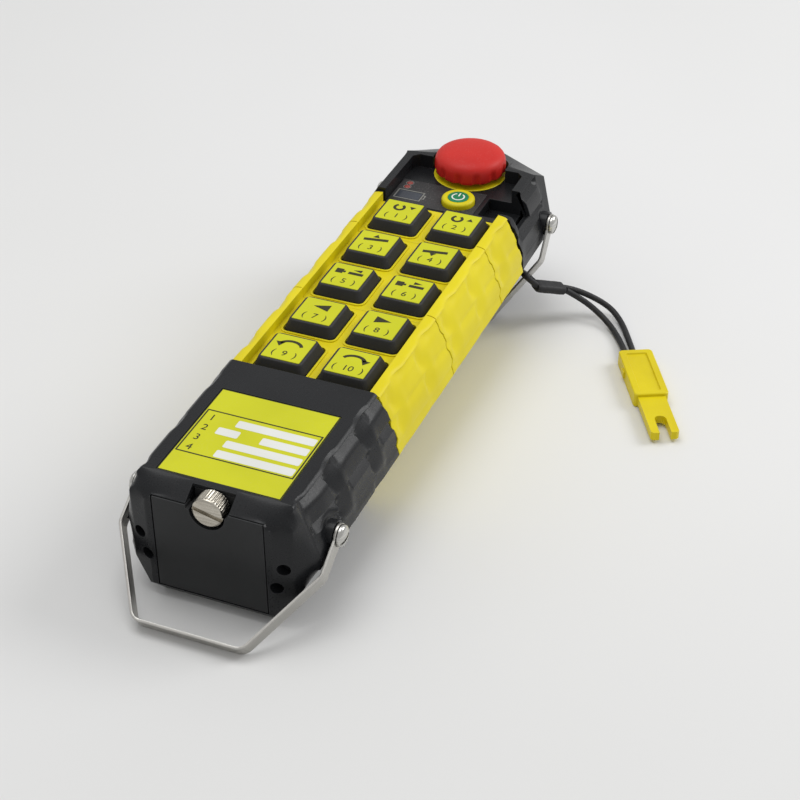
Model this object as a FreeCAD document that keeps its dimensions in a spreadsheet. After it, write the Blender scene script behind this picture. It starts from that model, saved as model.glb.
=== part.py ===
"""Handheld radio remote transmitter, in millimetres.

X points right, Y from the battery end to the end with the stop button, Z up. The origin is on the
underside. The far bail is folded under the body and props it, so the table slopes a little (TABLE).
"""

import FreeCAD
import Part
import Sketcher
import math
import os
from types import SimpleNamespace

Vector = FreeCAD.Vector

SIZES = {
    # six-sided section of the caps, half widths from the middle plane
    "cap_height": 48.1,
    "cap_top_half": 28.2,
    "cap_wide_half": 36.2,
    "cap_base_half": 21.1,
    "upper_rise": 21.4,
    "side_band": 4.0,
    "wall": 2.6,
    # lengths along the body
    "near_reach": 130.25,
    "near_cap_length": 75.0,
    "far_cap_length": 54.7,
    "gasket_thick": 0.8,
    # grip segments and the channel that holds the keys
    "grip_step": 0.8,
    "lip_drop": 1.5,
    "channel_half": 25.0,
    "channel_depth": 4.2,
    "floor_plate": 2.5,
    # keys
    "key_pitch_x": 25.0,
    "key_pitch_y": 26.25,
    "near_margin": 15.0,
    "far_margin": 13.55,
    "key_base": 20.4,
    "key_top": 16.8,
    "key_height": 4.8,
    "key_corner": 2.4,
    "key_flange": 1.3,
    "key_flange_thick": 2.3,
    "key_travel": 2.0,
    "label_side": 15.2,
    "label_thick": 0.3,
    "slide_gap": 0.3,
    # near end
    "end_flat_half": 23.0,
    "end_knee_half": 30.0,
    "end_knee_back": 2.2,
    "end_side_back": 8.6,
    "end_wall": 11.2,
    "chamfer_run": 7.7,
    "chamfer_drop": 4.7,
    "heel_run": 4.2,
    "heel_rise": 5.0,
    "plate_half": 22.6,
    "plate_length": 48.5,
    "plate_from_end": 9.1,
    "plate_thick": 0.5,
    "plate_sink": 0.7,
    # battery door and its thumb screw
    "door_half": 20.4,
    "door_low": 5.4,
    "door_thick": 4.0,
    "door_step": 2.4,
    "door_gap": 0.3,
    "thumb_radius": 6.2,
    "thumb_length": 6.6,
    "thumb_drop": 6.1,
    "thumb_shank": 2.2,
    "thumb_thread": 8.2,
    "tongue_half": 7.7,
    "tongue_thick": 1.8,
    "cap_screw_radius": 2.0,
    "cap_screw_depth": 4.0,
    "cap_screw_high_x": 26.6,
    "cap_screw_high_drop": 1.0,
    "cap_screw_low_x": 24.0,
    "cap_screw_low_drop": 5.1,
    # cells
    "cell_radius": 7.1,
    "cell_length": 49.5,
    "cell_pitch": 15.0,
    "cell_gap": 0.4,
    "sleeve_wall": 2.0,
    # bails
    "pivot_rise": 1.9,
    "near_pivot_from_end": 21.0,
    "far_pivot_from_joint": 29.2,
    "strip_width": 6.0,
    "strip_thick": 1.0,
    "leg_length": 15.7,
    "bail_reach": 46.5,
    "bail_bar_half": 20.1,
    "bail_bend": 4.0,
    "eyelet_radius": 4.3,
    "pivot_radius": 1.95,
    "pivot_head": 4.0,
    "pivot_head_thick": 2.2,
    "pivot_fit": 0.05,
    "boss_radius": 5.0,
    "boss_proud": 0.6,
    "bail_gap": 0.3,
    "far_bail_drop": 7.54,
    "near_bail_rise": 3.9,
    # far end and its well
    "well_drop": 5.9,
    "well_half": 24.3,
    "well_length": 32.2,
    "well_corner": 2.5,
    "tail_side": 32.7,
    "tail_knee_half": 30.3,
    "tail_knee": 41.45,
    "tail_mid_half": 14.0,
    "tail_mid": 50.7,
    "tail_flat_half": 7.0,
    "tail_chamfer_run": 7.75,
    "tail_chamfer_drop": 4.8,
    "tail_wall": 7.0,
    "rim_knee": 32.5,
    "rim_mid_half": 16.2,
    "rim_mid": 35.8,
    "rim_flat": 39.0,
    # stop button
    "stop_from_joint": 33.9,
    "stop_head": 14.9,
    "stop_rise": 2.5,
    "stop_rim": 4.9,
    "stop_shoulder": 2.6,
    "stop_dome": 1.9,
    "stop_shoulder_radius": 12.9,
    "stop_dome_radius": 7.2,
    "stop_flute": 0.9,
    "stop_ring": 15.2,
    "stop_ring_thick": 0.5,
    "stop_neck": 8.0,
    "stop_neck_length": 8.2,
    "stop_stem": 5.0,
    "stop_travel": 1.8,
    "stop_nut_thick": 3.0,
    "stop_nut_radius": 12.0,
    "stop_block": 22.0,
    "stop_block_height": 14.0,
    "running_gap": 0.1,
    # power button, lenses, window and the sheet round them
    "power_x": 3.9,
    "power_from_joint": 9.6,
    "power_radius": 6.9,
    "power_rise": 2.8,
    "power_flange": 0.8,
    "power_flange_thick": 1.5,
    "power_disc": 4.3,
    "power_disc_thick": 0.4,
    "power_travel": 1.2,
    "lens_radius": 1.3,
    "lens_x": 20.3,
    "lens_from_joint": 13.6,
    "lens_pitch": 3.2,
    "window_x": 17.0,
    "window_from_joint": 7.5,
    "window_width": 10.0,
    "window_depth": 5.5,
    "sheet_thick": 0.3,
    "sheet_length": 19.4,
    # socket for the safety key in the right wall
    "socket_x": 14.8,
    "socket_from_joint": 3.0,
    "socket_width": 14.4,
    "socket_depth": 5.2,
    "socket_wall": 1.5,
    # boards
    "board_thick": 1.6,
    "board_half": 28.0,
    "switch_side": 6.0,
    "switch_height": 3.5,
    "tray_thick": 2.0,
    "tray_drop": 0.2,
    "rail_width": 3.0,
    "panel_board_length": 15.0,
    "post_radius": 2.0,
    # safety key and tether
    "safety_width": 13.8,
    "safety_length": 33.0,
    "safety_thick": 6.0,
    "fork_width": 11.0,
    "fork_length": 25.0,
    "fork_thick": 3.4,
    "fork_slot": 4.6,
    "fork_slot_depth": 11.5,
    "tether_diameter": 2.5,
    "sleeve_skin": 0.75,
}

DOC = FreeCAD.newDocument("transmitter")
SHEET = DOC.addObject("Spreadsheet::Sheet", "Sizes")
for row, (alias, number) in enumerate(SIZES.items(), 1):
    SHEET.set("A%d" % row, alias)
    SHEET.set("B%d" % row, str(number))
    SHEET.setAlias("B%d" % row, alias)
DOC.recompute()


class Size:
    """A length together with the sheet expression that gives it."""

    def __init__(self, text, value):
        self.text = text
        self.value = value

    def _with(self, sign, other, value):
        return Size("(%s %s %s)" % (self.text, sign, as_size(other).text), value)

    def __add__(self, other):
        return self._with("+", other, self.value + as_size(other).value)

    def __sub__(self, other):
        return self._with("-", other, self.value - as_size(other).value)

    def __mul__(self, other):
        return self._with("*", other, self.value * as_size(other).value)

    def __truediv__(self, other):
        return self._with("/", other, self.value / as_size(other).value)

    def __neg__(self):
        return as_size(0) - self

    __radd__ = __add__
    __rmul__ = __mul__


def as_size(value):
    return value if isinstance(value, Size) else Size("(%r)" % float(value), float(value))


S = SimpleNamespace(**{name: Size("Sizes." + name, float(SHEET.get(name))) for name in SIZES})

# Heights that hang from the top of the caps
S.wide_high = S.cap_height - S.upper_rise
S.wide_low = S.wide_high - S.side_band
S.pivot_height = S.wide_high + S.pivot_rise
S.tray_top = S.wide_high - S.tray_drop
S.grip_lip = S.cap_height - S.lip_drop
S.key_floor = S.grip_lip - S.channel_depth
S.thumb_height = S.cap_height - S.thumb_drop
S.well_floor = S.cap_height - S.well_drop
S.socket_floor = S.well_floor - S.socket_depth


def bind(obj, sizes):
    """Tie an object's properties to sizes."""
    for prop, value in sizes.items():
        obj.setExpression(prop, as_size(value).text)
    return obj


TURNS = {
    "X": FreeCAD.Rotation(Vector(0, 1, 0), 90),
    "Y": FreeCAD.Rotation(Vector(1, 0, 0), -90),
    "Z": FreeCAD.Rotation(),
}


def place(obj, x=0, y=0, z=0, turn=TURNS["Z"]):
    """Put an object at a point given by sizes, turned by a rotation."""
    obj.Placement = FreeCAD.Placement(Vector(*(as_size(v).value for v in (x, y, z))), turn)
    return bind(obj, {"Placement.Base.x": x, "Placement.Base.y": y, "Placement.Base.z": z})


def box(name, x, y, z):
    """A block between two values on each axis."""
    obj = DOC.addObject("Part::Box", name)
    low, high = zip(x, y, z)
    spans = [as_size(b) - a for a, b in zip(low, high)]
    bind(obj, dict(zip(("Length", "Width", "Height"), spans)))
    return place(obj, *low)


def cylinder(name, radius, length, start, axis="Z"):
    """A round bar from a point along an axis."""
    obj = DOC.addObject("Part::Cylinder", name)
    bind(obj, {"Radius": radius, "Height": length})
    return place(obj, *start, turn=TURNS[axis])


def cone(name, radius_low, radius_high, length, start, axis="Z"):
    obj = DOC.addObject("Part::Cone", name)
    bind(obj, {"Radius1": radius_low, "Radius2": radius_high, "Height": length})
    return place(obj, *start, turn=TURNS[axis])


def outline(sketch, points):
    """A closed outline in a sketch, with each corner held by two sizes."""
    first = sketch.GeometryCount
    count = len(points)
    corners = [Vector(as_size(u).value, as_size(v).value, 0) for u, v in points]
    for i in range(count):
        sketch.addGeometry(Part.LineSegment(corners[i], corners[(i + 1) % count]), False)
    for i in range(count):
        sketch.addConstraint(Sketcher.Constraint("Coincident", first + i, 2, first + (i + 1) % count, 1))
    for i, point in enumerate(points):
        for kind, value in zip(("DistanceX", "DistanceY"), point):
            held = Sketcher.Constraint(kind, -1, 1, first + i, 1, as_size(value).value)
            index = sketch.addConstraint(held)
            sketch.setExpression("Constraints[%d]" % index, as_size(value).text)


def prism(name, outlines, start, length, plane="XZ"):
    """A body padded from outlines on an origin plane: XZ along +Y, XY along +Z, YZ along +X."""
    body = DOC.addObject("PartDesign::Body", name)
    sketch = body.newObject("Sketcher::SketchObject", name + "_sketch")
    support = next(f for f in body.Origin.OriginFeatures if f.Role == plane + "_Plane")
    sketch.AttachmentSupport = [(support, "")]
    sketch.MapMode = "FlatFace"
    for points in outlines:
        outline(sketch, points)
    pad = body.newObject("PartDesign::Pad", name + "_pad")
    pad.Profile = sketch
    pad.Reversed = plane == "XZ"
    bind(pad, {"Length": length})
    sketch.Visibility = False
    return place(body, **{{"XZ": "y", "XY": "z", "YZ": "x"}[plane]: start})


def loft(name, sections):
    """A solid through flat outlines, each given as its height and its points."""
    sketches = []
    for i, (height, points) in enumerate(sections):
        sketch = DOC.addObject("Sketcher::SketchObject", "%s_section%d" % (name, i))
        outline(sketch, points)
        sketches.append(place(sketch, z=height))
    obj = DOC.addObject("Part::Loft", name)
    obj.Sections = sketches
    obj.Solid = True
    obj.Ruled = True
    return obj


def join(name, *shapes):
    obj = DOC.addObject("Part::MultiFuse", name)
    obj.Shapes = list(shapes)
    return obj


def common(name, first, second):
    obj = DOC.addObject("Part::Common", name)
    obj.Base = first
    obj.Tool = second
    return obj


def cut(name, base, *tools):
    obj = DOC.addObject("Part::Cut", name)
    obj.Base = base
    obj.Tool = tools[0] if len(tools) == 1 else group(name + "_tools", *tools)
    return obj


def group(name, *solids):
    obj = DOC.addObject("Part::Compound", name)
    obj.Links = list(solids)
    return obj


def fillet(name, base, choose):
    """Round the edges for which choose(edge) gives a radius."""
    DOC.recompute()
    radii = [(i, choose(edge)) for i, edge in enumerate(base.Shape.Edges, 1)]
    obj = DOC.addObject("Part::Fillet", name)
    obj.Base = base
    obj.Edges = [(i, radius, radius) for i, radius in radii if radius]
    return obj


def solid(name, shape):
    obj = DOC.addObject("Part::Feature", name)
    obj.Shape = shape
    return obj


NODES = []


def node(label, obj):
    """Name an object as one of the finished sub-parts."""
    obj.Label = label
    NODES.append(obj)
    return obj


def mirrored(points):
    """The right half of an outline, bottom to top, with its mirror image on the left."""
    return list(points) + [(-u, v) for u, v in reversed(points)]


SIDES = ((-1, "left"), (1, "right"))

# Places along the body
near_end = -S.near_reach
near_joint = near_end + S.near_cap_length
rows = [near_joint + S.near_margin + S.key_pitch_y * i for i in range(5)]
seams = [rows[1] + S.key_pitch_y / 2, rows[3] + S.key_pitch_y / 2]
far_joint = rows[4] + S.far_margin
far_end = far_joint + S.far_cap_length
near_pivot = near_end + S.near_pivot_from_end
far_pivot = far_joint + S.far_pivot_from_joint

# Sections
grip_base = S.cap_base_half - S.grip_step
grip_wide = S.cap_wide_half - S.grip_step
grip_top = S.cap_top_half - S.grip_step
ceiling = S.key_floor - S.floor_plate


def lower_flank(base, height):
    """Half width of the lower flank at a height."""
    return base + (S.cap_wide_half - S.cap_base_half) * height / S.wide_low


def upper_flank(wide, top, top_height, height):
    """Half width of the upper flank at a height."""
    return top + (wide - top) * (top_height - height) / (top_height - S.wide_high)


def hollow(base, wide, top, top_height, ceiling_height):
    """The inside of a shell: its section set in by the wall, up to a flat ceiling."""
    return mirrored([
        (lower_flank(base, S.wall) - S.wall, S.wall),
        (wide - S.wall, S.wide_low),
        (wide - S.wall, S.wide_high),
        (upper_flank(wide, top, top_height, ceiling_height) - S.wall, ceiling_height),
    ])


CAP_SECTION = mirrored([
    (S.cap_base_half, 0),
    (S.cap_wide_half, S.wide_low),
    (S.cap_wide_half, S.wide_high),
    (S.cap_top_half, S.cap_height),
])
GRIP_SECTION = mirrored([
    (grip_base, 0),
    (grip_wide, S.wide_low),
    (grip_wide, S.wide_high),
    (grip_top, S.grip_lip),
    (S.channel_half, S.grip_lip),
    (S.channel_half, S.key_floor),
])
GRIP_HOLLOW = hollow(grip_base, grip_wide, grip_top, S.grip_lip, ceiling)
span = S.cap_wide_half + S.wall


# Grip: three yellow tubes end to end, with a floor for the keys in the channel on top
def key_place(row, column):
    return S.key_pitch_x * (column - 0.5), rows[row]


def square(name, side, centre, low, high):
    x, y = centre
    return box(name, (x - side / 2, x + side / 2), (y - side / 2, y + side / 2), (low, high))


def grip_segment(label, start, end, its_rows):
    tube = prism(label + "_tube", [GRIP_SECTION, GRIP_HOLLOW], start, end - start)
    holes = [
        square("%s_hole_%d_%d" % (label, row, column), S.key_base + S.slide_gap * 2,
               key_place(row, column), ceiling - S.wall, S.grip_lip)
        for row in its_rows
        for column in (0, 1)
    ]
    return node(label, cut(label + "_body", tube, *holes))


grip_near = grip_segment("grip_near", near_joint + S.gasket_thick, seams[0], (0, 1))
grip_middle = grip_segment("grip_middle", seams[0], seams[1], (2, 3))
grip_far = grip_segment("grip_far", seams[1], far_joint - S.gasket_thick, (4,))
node("cap_gaskets", group("cap_gaskets_pair", *[
    prism(end + "_gasket", [GRIP_SECTION, GRIP_HOLLOW], start, S.gasket_thick)
    for end, start in (("near", near_joint), ("far", far_joint - S.gasket_thick))
]))

# Keys: rubber caps on a flanged plunger, held up under the floor, with a label set on top
key_low = ceiling - S.slide_gap - S.key_flange_thick
key_high = S.key_floor + S.key_height - S.label_thick


def make_key(number, row, column):
    name = "key_%d" % number
    x, y = key_place(row, column)
    top = S.key_top / 2
    base = S.key_base / 2
    cap = loft(name + "_cap", [
        (height, [(x + half * u, y + half * v) for u, v in ((-1, -1), (1, -1), (1, 1), (-1, 1))])
        for height, half in ((S.key_floor, base), (key_high, top))
    ])
    slanted = fillet(name + "_rounded", cap, lambda edge: S.key_corner.value
                     if abs(edge.tangentAt(edge.FirstParameter).z) > 0.5 else 0)
    plunger = square(name + "_plunger", S.key_base, (x, y), key_low + S.key_flange_thick, S.key_floor)
    stem = fillet(name + "_stem", plunger, lambda edge: S.key_corner.value
                  if abs(edge.tangentAt(edge.FirstParameter).z) > 0.5 else 0)
    flange = square(name + "_flange", S.key_base + S.key_flange * 2, (x, y), key_low,
                    key_low + S.key_flange_thick)
    node(name, join(name + "_body", slanted, stem, flange))
    node("key_label_%d" % number, square("key_label_%d_plate" % number, S.label_side, (x, y), key_high,
                                         key_high + S.label_thick))


for number in range(10):
    make_key(number + 1, 4 - number // 2, number % 2)

# Main board with a switch under each key, on a tray between the grip's walls
switch_top = key_low - S.key_travel - S.slide_gap
board_top = switch_top - S.switch_height
board_low = board_top - S.board_thick
inside = (near_joint + S.wall, far_joint - S.wall)
node("main_board", box("main_board_plate", (-S.board_half, S.board_half), inside, (board_low, board_top)))
node("key_switches", group("key_switches_set", *[
    square("key_switch_%d_%d" % (row, column), S.switch_side, key_place(row, column), board_top, switch_top)
    for row in range(5)
    for column in (0, 1)
]))
tray_half = grip_wide - S.wall - S.slide_gap
rails = [
    box("tray_rail_" + side, (low, high), inside, (S.tray_top, board_low))
    for side, low, high in (
        ("left", -S.board_half, S.rail_width - S.board_half),
        ("right", S.board_half - S.rail_width, S.board_half),
    )
]
tray_low = S.tray_top - S.tray_thick
tray_plate = box("tray_plate", (-tray_half, tray_half), inside, (tray_low, S.tray_top))
node("board_tray", join("board_tray_body", tray_plate, *rails))
radio_half = S.board_half - S.rail_width * 3
node("radio_module", box("radio_can", (-radio_half, radio_half), (rows[3], rows[4]),
                         (S.tray_top, board_low - S.slide_gap)))
antenna_radius = S.tray_thick
node("antenna", cylinder("antenna_rod", antenna_radius, rows[4] - rows[2],
                         (-radio_half, rows[2], tray_low - antenna_radius - S.running_gap), "Y"))


# Bail pivots: bosses on both caps, dome-headed screws in them
boss_face = S.cap_wide_half + S.boss_proud
leg_inner = boss_face + S.bail_gap
head_seat = leg_inner + S.strip_thick + S.bail_gap
boss_depth = S.wall * 3


def along_x(name, radius, sign, inner, outer, y, z):
    """A round bar between two distances from the middle plane, on one side."""
    start = inner if sign > 0 else -outer
    return cylinder(name, radius, outer - inner, (start, y, z), "X")


def pivot_bosses(name, y):
    return [along_x(name + "_boss_" + side, S.boss_radius, sign, boss_face - boss_depth, boss_face, y,
                    S.pivot_height) for sign, side in SIDES]


def pivot_bores(name, y):
    radius = S.pivot_radius + S.pivot_fit
    inner = boss_face - boss_depth - S.wall
    return [along_x(name + "_bore_" + side, radius, sign, inner, boss_face + S.wall, y, S.pivot_height)
            for sign, side in SIDES]


def pivot_screw(name, sign, y):
    inner = boss_face - boss_depth
    shank = along_x(name + "_shank", S.pivot_radius, sign, inner, head_seat, y, S.pivot_height)
    wide, narrow = S.pivot_head, S.pivot_head * 0.6
    low = head_seat if sign > 0 else -head_seat - S.pivot_head_thick
    ends = (wide, narrow) if sign > 0 else (narrow, wide)
    head = cone(name + "_head", *ends, S.pivot_head_thick, (low, y, S.pivot_height), "X")
    return join(name, shank, head)


pivot_ys = (("near", near_pivot), ("far", far_pivot))
node("bail_screws", group("bail_screws_set", *[
    pivot_screw("bail_screw_%s_%s" % (end, side), sign, y) for end, y in pivot_ys for sign, side in SIDES
]))

# Near cap: end housing round the cells, with a recess for the label plate and the battery door
near_plan = [
    (S.end_flat_half, near_end),
    (S.end_knee_half, near_end + S.end_knee_back),
    (S.cap_wide_half, near_end + S.end_side_back),
    (span, near_end + S.end_side_back),
    (span, near_joint),
]
near_side = [
    (near_end + S.heel_run, 0),
    (near_joint, 0),
    (near_joint, S.cap_height),
    (near_end + S.chamfer_run, S.cap_height),
    (near_end, S.cap_height - S.chamfer_drop),
    (near_end, S.heel_rise),
]
near_bar = prism("near_cap_bar", [CAP_SECTION], near_end, S.near_cap_length)
near_planned = common("near_cap_planned", near_bar,
                      prism("near_cap_plan", [mirrored(near_plan)], -S.wall, S.cap_height + S.wall * 2, "XY"))
near_block = common("near_cap_block", near_planned,
                    prism("near_cap_side", [near_side], -span, span * 2, "YZ"))
bay_start = near_end + S.end_wall
bay = prism("near_cap_bay", [hollow(S.cap_base_half, S.cap_wide_half, S.cap_top_half, S.cap_height,
                                    S.cap_height - S.wall)], bay_start, near_joint - bay_start + S.wall)
near_shell = cut("near_cap_shell", near_block, bay)

door_top = S.cap_height - S.chamfer_drop
door_back = near_end + S.door_thick
tongue_front = near_end + S.thumb_length + S.door_gap
tongue_back = tongue_front + S.tongue_thick
outside = near_end - S.wall
nut_start = tongue_back + S.door_gap
nut_end = nut_start + S.thumb_thread
nut_block = box("thumb_nut_block", (-S.thumb_radius, S.thumb_radius), (nut_start, nut_end),
                (S.thumb_height - S.thumb_radius + S.running_gap, S.cap_height - S.wall / 2))
near_solid = join("near_cap_solid", near_shell, nut_block, *pivot_bosses("near", near_pivot))

plate_start = near_end + S.plate_from_end
plate_end = plate_start + S.plate_length
recess = box("near_cap_recess", (-S.plate_half - S.slide_gap, S.plate_half + S.slide_gap),
             (plate_start - S.slide_gap, plate_end + S.slide_gap),
             (S.cap_height - S.plate_sink, S.cap_height + S.wall))
door_hole = box("near_cap_door_hole", (-S.door_half - S.door_gap, S.door_half + S.door_gap),
                (outside, door_back + S.door_gap), (S.door_low - S.door_gap, door_top + S.door_gap))
bay_half = S.door_half - S.door_step
bay_low, bay_high = S.door_low + S.door_step, S.thumb_height - S.thumb_radius - S.door_step
bay_mouth = box("near_cap_bay_mouth", (-bay_half, bay_half), (outside, bay_start + S.wall),
                (bay_low, bay_high))
tongue_slot = box("near_cap_tongue_slot", (-S.tongue_half - S.door_gap, S.tongue_half + S.door_gap),
                  (outside, tongue_back + S.door_gap),
                  (S.thumb_height - S.tongue_half - S.door_gap, S.cap_height + S.wall))
thumb_bore = cylinder("near_cap_thumb_bore", S.thumb_shank + S.running_gap, nut_end + S.wall - near_end,
                      (0, near_end, S.thumb_height), "Y")
CAP_SCREWS = [
    ("%s_%s" % (level, side), x * sign, z)
    for level, x, z in (("high", S.cap_screw_high_x, S.wide_high - S.cap_screw_high_drop),
                        ("low", S.cap_screw_low_x, S.wide_low - S.cap_screw_low_drop))
    for sign, side in SIDES
]
screw_seat = near_end + S.end_knee_back + S.cap_screw_depth
screw_wells = [
    cylinder("cap_screw_well_" + name, S.cap_screw_radius + S.slide_gap, screw_seat - outside,
             (x, outside, z), "Y")
    for name, x, z in CAP_SCREWS
]
screw_shank = S.cap_screw_radius * 0.6
screw_bores = [
    cylinder("cap_screw_bore_" + name, screw_shank + S.running_gap, bay_start - outside,
             (x, outside, z), "Y")
    for name, x, z in CAP_SCREWS
]
node("near_cap", cut("near_cap_body", near_solid, recess, door_hole, bay_mouth, tongue_slot, thumb_bore,
                     *screw_wells, *screw_bores, *pivot_bores("near", near_pivot)))
node("label_plate", box("label_plate_sheet", (-S.plate_half, S.plate_half), (plate_start, plate_end),
                        (S.cap_height - S.plate_sink, S.cap_height - S.plate_sink + S.plate_thick)))
node("near_cap_screws", group("near_cap_screws_set", *[
    join("cap_screw_" + name,
         cylinder("cap_screw_head_" + name, S.cap_screw_radius, S.cap_screw_radius,
                  (x, screw_seat - S.cap_screw_radius, z), "Y"),
         cylinder("cap_screw_shank_" + name, screw_shank, bay_start - screw_seat, (x, screw_seat, z), "Y"))
    for name, x, z in CAP_SCREWS
]))

# Battery door: the end's middle panel, with a tongue behind the head of the thumb screw
door_panel = box("door_panel", (-S.door_half, S.door_half), (near_end, door_back), (S.door_low, door_top))
door_tongue = box("door_tongue", (-S.tongue_half, S.tongue_half), (near_end + S.door_gap, tongue_back),
                  (S.thumb_height - S.tongue_half, S.thumb_height + S.thumb_shank + S.tongue_thick))
door_cheek = box("door_cheek", (-S.tongue_half, S.tongue_half), (near_end, tongue_front),
                 (S.thumb_height, S.cap_height + S.wall))
door_seat = cylinder("door_seat", S.thumb_radius + S.slide_gap, tongue_front - outside,
                     (0, outside, S.thumb_height), "Y")
door_bore = cylinder("door_bore", S.thumb_shank + S.running_gap, S.end_wall,
                     (0, near_end, S.thumb_height), "Y")
node("battery_door", cut("battery_door_body", join("door_blank", door_panel, door_tongue), door_cheek,
                         door_seat, door_bore))
gasket_back = door_back + S.door_gap
node("door_gasket", cut("door_gasket_ring",
     box("door_gasket_sheet", (-S.door_half, S.door_half), (door_back, gasket_back),
         (S.door_low, S.thumb_height - S.tongue_half - S.door_gap)),
     box("door_gasket_hole", (-bay_half, bay_half), (near_end, bay_start), (bay_low, bay_high))))
thumb_head = cylinder("thumb_head", S.thumb_radius, S.thumb_length, (0, near_end, S.thumb_height), "Y")
thumb_shank = cylinder("thumb_shank_bar", S.thumb_shank, nut_end - near_end,
                       (0, near_end, S.thumb_height), "Y")
thumb_slot = box("thumb_slot", (-S.thumb_radius, S.thumb_radius), (outside, near_end + S.strip_thick),
                 (S.thumb_height - S.strip_thick / 2, S.thumb_height + S.strip_thick / 2))
node("thumb_screw", cut("thumb_screw_body", join("thumb_blank", thumb_head, thumb_shank), thumb_slot))

# Cells in a square sleeve that stands on the floor of the near cap
sleeve_inner = S.cell_pitch / 2 + S.cell_radius + S.cell_gap
sleeve_low = S.wall + S.slide_gap
cell_middle = sleeve_low + S.sleeve_wall + sleeve_inner
sleeve_outer = sleeve_inner + S.sleeve_wall
contact_thick = S.board_thick
sleeve_start = nut_end + S.slide_gap
cells_start = sleeve_start + contact_thick
cells_end = cells_start + S.cell_length + S.running_gap


def square_tube(name, half, start, end):
    return box(name, (-half, half), (start, end), (cell_middle - half, cell_middle + half))


node("battery_sleeve", cut("battery_sleeve_tube",
     square_tube("battery_sleeve_outer", sleeve_outer, sleeve_start, cells_end),
     square_tube("battery_sleeve_inner", sleeve_inner, bay_start, cells_end + S.wall)))
CELLS = [(S.cell_pitch * i / 2, cell_middle + S.cell_pitch * k / 2) for i in (-1, 1) for k in (-1, 1)]
node("battery_cells", group("battery_cells_set", *[
    cylinder("cell_%d" % i, S.cell_radius, S.cell_length, (x, cells_start, z), "Y")
    for i, (x, z) in enumerate(CELLS)
]))
node("contact_board", square_tube("contact_board_plate", sleeve_outer, cells_end, cells_end + contact_thick))
contact_half = S.cell_radius - S.sleeve_wall
node("door_contacts", group("door_contacts_set", *[
    box("door_contact_" + side, (x - contact_half, x + contact_half), (door_back, cells_start - S.slide_gap),
        (bay_low + S.wall, bay_high - S.wall))
    for side, x in (("left", S.cell_pitch * -0.5), ("right", S.cell_pitch * 0.5))
]))

# Far cap: end housing with a well on top for the stop button and the power button
stop_y = far_joint + S.stop_from_joint
power_y = far_joint + S.power_from_joint
well_ceiling = S.well_floor - S.floor_plate
tail_low = S.cap_height - S.tail_chamfer_drop


def far_plan(side, knee, mid_half, mid, flat):
    """The far end seen from above: where its side, its knee, its middle and its flat lie behind the joint."""
    return mirrored([
        (span, far_joint),
        (span, far_joint + side),
        (S.tail_knee_half, far_joint + knee),
        (mid_half, far_joint + mid),
        (S.tail_flat_half, far_joint + flat),
    ])


tail_plan = far_plan(S.tail_side, S.tail_knee, S.tail_mid_half, S.tail_mid, far_end - far_joint)
rim_plan = far_plan(S.tail_side - S.tail_chamfer_run, S.rim_knee, S.rim_mid_half, S.rim_mid, S.rim_flat)
far_bar = prism("far_cap_bar", [CAP_SECTION], far_joint, S.far_cap_length)
tail = join("far_cap_tail",
            prism("far_cap_plan", [tail_plan], -S.wall, tail_low + S.wall, "XY"),
            loft("far_cap_slope", [(tail_low, tail_plan), (S.cap_height, rim_plan)]))
far_block = common("far_cap_block", far_bar, tail)
far_bay = common("far_cap_bay",
                 prism("far_cap_bay_bar",
                       [hollow(S.cap_base_half, S.cap_wide_half, S.cap_top_half, S.cap_height, well_ceiling)],
                       far_joint - S.wall, S.far_cap_length),
                 prism("far_cap_bay_plan", [mirrored([
                     (span, far_joint - S.wall),
                     (span, far_joint + S.tail_side - S.tail_wall / 2),
                     (S.tail_knee_half - S.wall, far_joint + S.tail_knee - S.tail_wall),
                     (S.tail_mid_half, far_joint + S.tail_mid - S.wall * 2),
                 ])], -S.wall, S.cap_height, "XY"))
well = prism("far_cap_well", [mirrored([
    (S.well_half, far_joint - S.wall),
    (S.well_half, far_joint + S.well_length - S.well_corner),
    (S.well_half - S.well_corner, far_joint + S.well_length),
])], S.well_floor, S.cap_height, "XY")
stop_room = cylinder("far_cap_stop_room", S.stop_ring + S.slide_gap * 3, S.cap_height,
                     (0, stop_y, S.well_floor))
socket_start = far_joint + S.socket_from_joint
socket_end = socket_start + S.socket_width
socket_block = box("socket_block", (S.socket_x - S.socket_wall, S.cap_top_half),
                   (socket_start - S.socket_wall, socket_end + S.socket_wall),
                   (S.socket_floor - S.wall, S.well_floor))
socket_hole = box("socket_hole", (S.socket_x, span), (socket_start, socket_end),
                  (S.socket_floor, S.cap_height * 2))
power_low = well_ceiling - S.slide_gap - S.power_flange_thick
panel_low = power_low - S.slide_gap - S.power_travel - S.board_thick
panel_board = (panel_low - S.board_thick, panel_low)
panel_start = far_joint + S.wall
panel_end = panel_start + S.panel_board_length
panel_right = S.socket_x - S.socket_wall - S.slide_gap
panel_left = -S.lens_x
beside_power = S.power_x - S.power_radius - S.power_flange - S.post_radius - S.slide_gap
POSTS = [(panel_left + S.post_radius, panel_start + S.post_radius),
         (panel_left + S.post_radius, panel_end - S.post_radius),
         (beside_power, power_y)]
posts = [
    cylinder("panel_post_%d" % i, S.post_radius, well_ceiling - panel_low + S.wall / 2, (x, y, panel_low))
    for i, (x, y) in enumerate(POSTS)
]
far_solid = join("far_cap_solid", cut("far_cap_shell", far_block, far_bay, well, stop_room), socket_block,
                 *posts, *pivot_bosses("far", far_pivot))
LENSES = [(-S.lens_x, far_joint + S.lens_from_joint + S.lens_pitch * i) for i in (0, 1)]
window_y = far_joint + S.window_from_joint
window_span = ((-S.window_x - S.window_width / 2, -S.window_x + S.window_width / 2),
               (window_y - S.window_depth / 2, window_y + S.window_depth / 2))
window_low = S.well_floor - S.floor_plate / 2


def through_floor(name, radius, x, y):
    return cylinder(name, radius, S.floor_plate * 3, (x, y, well_ceiling - S.floor_plate))


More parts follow.
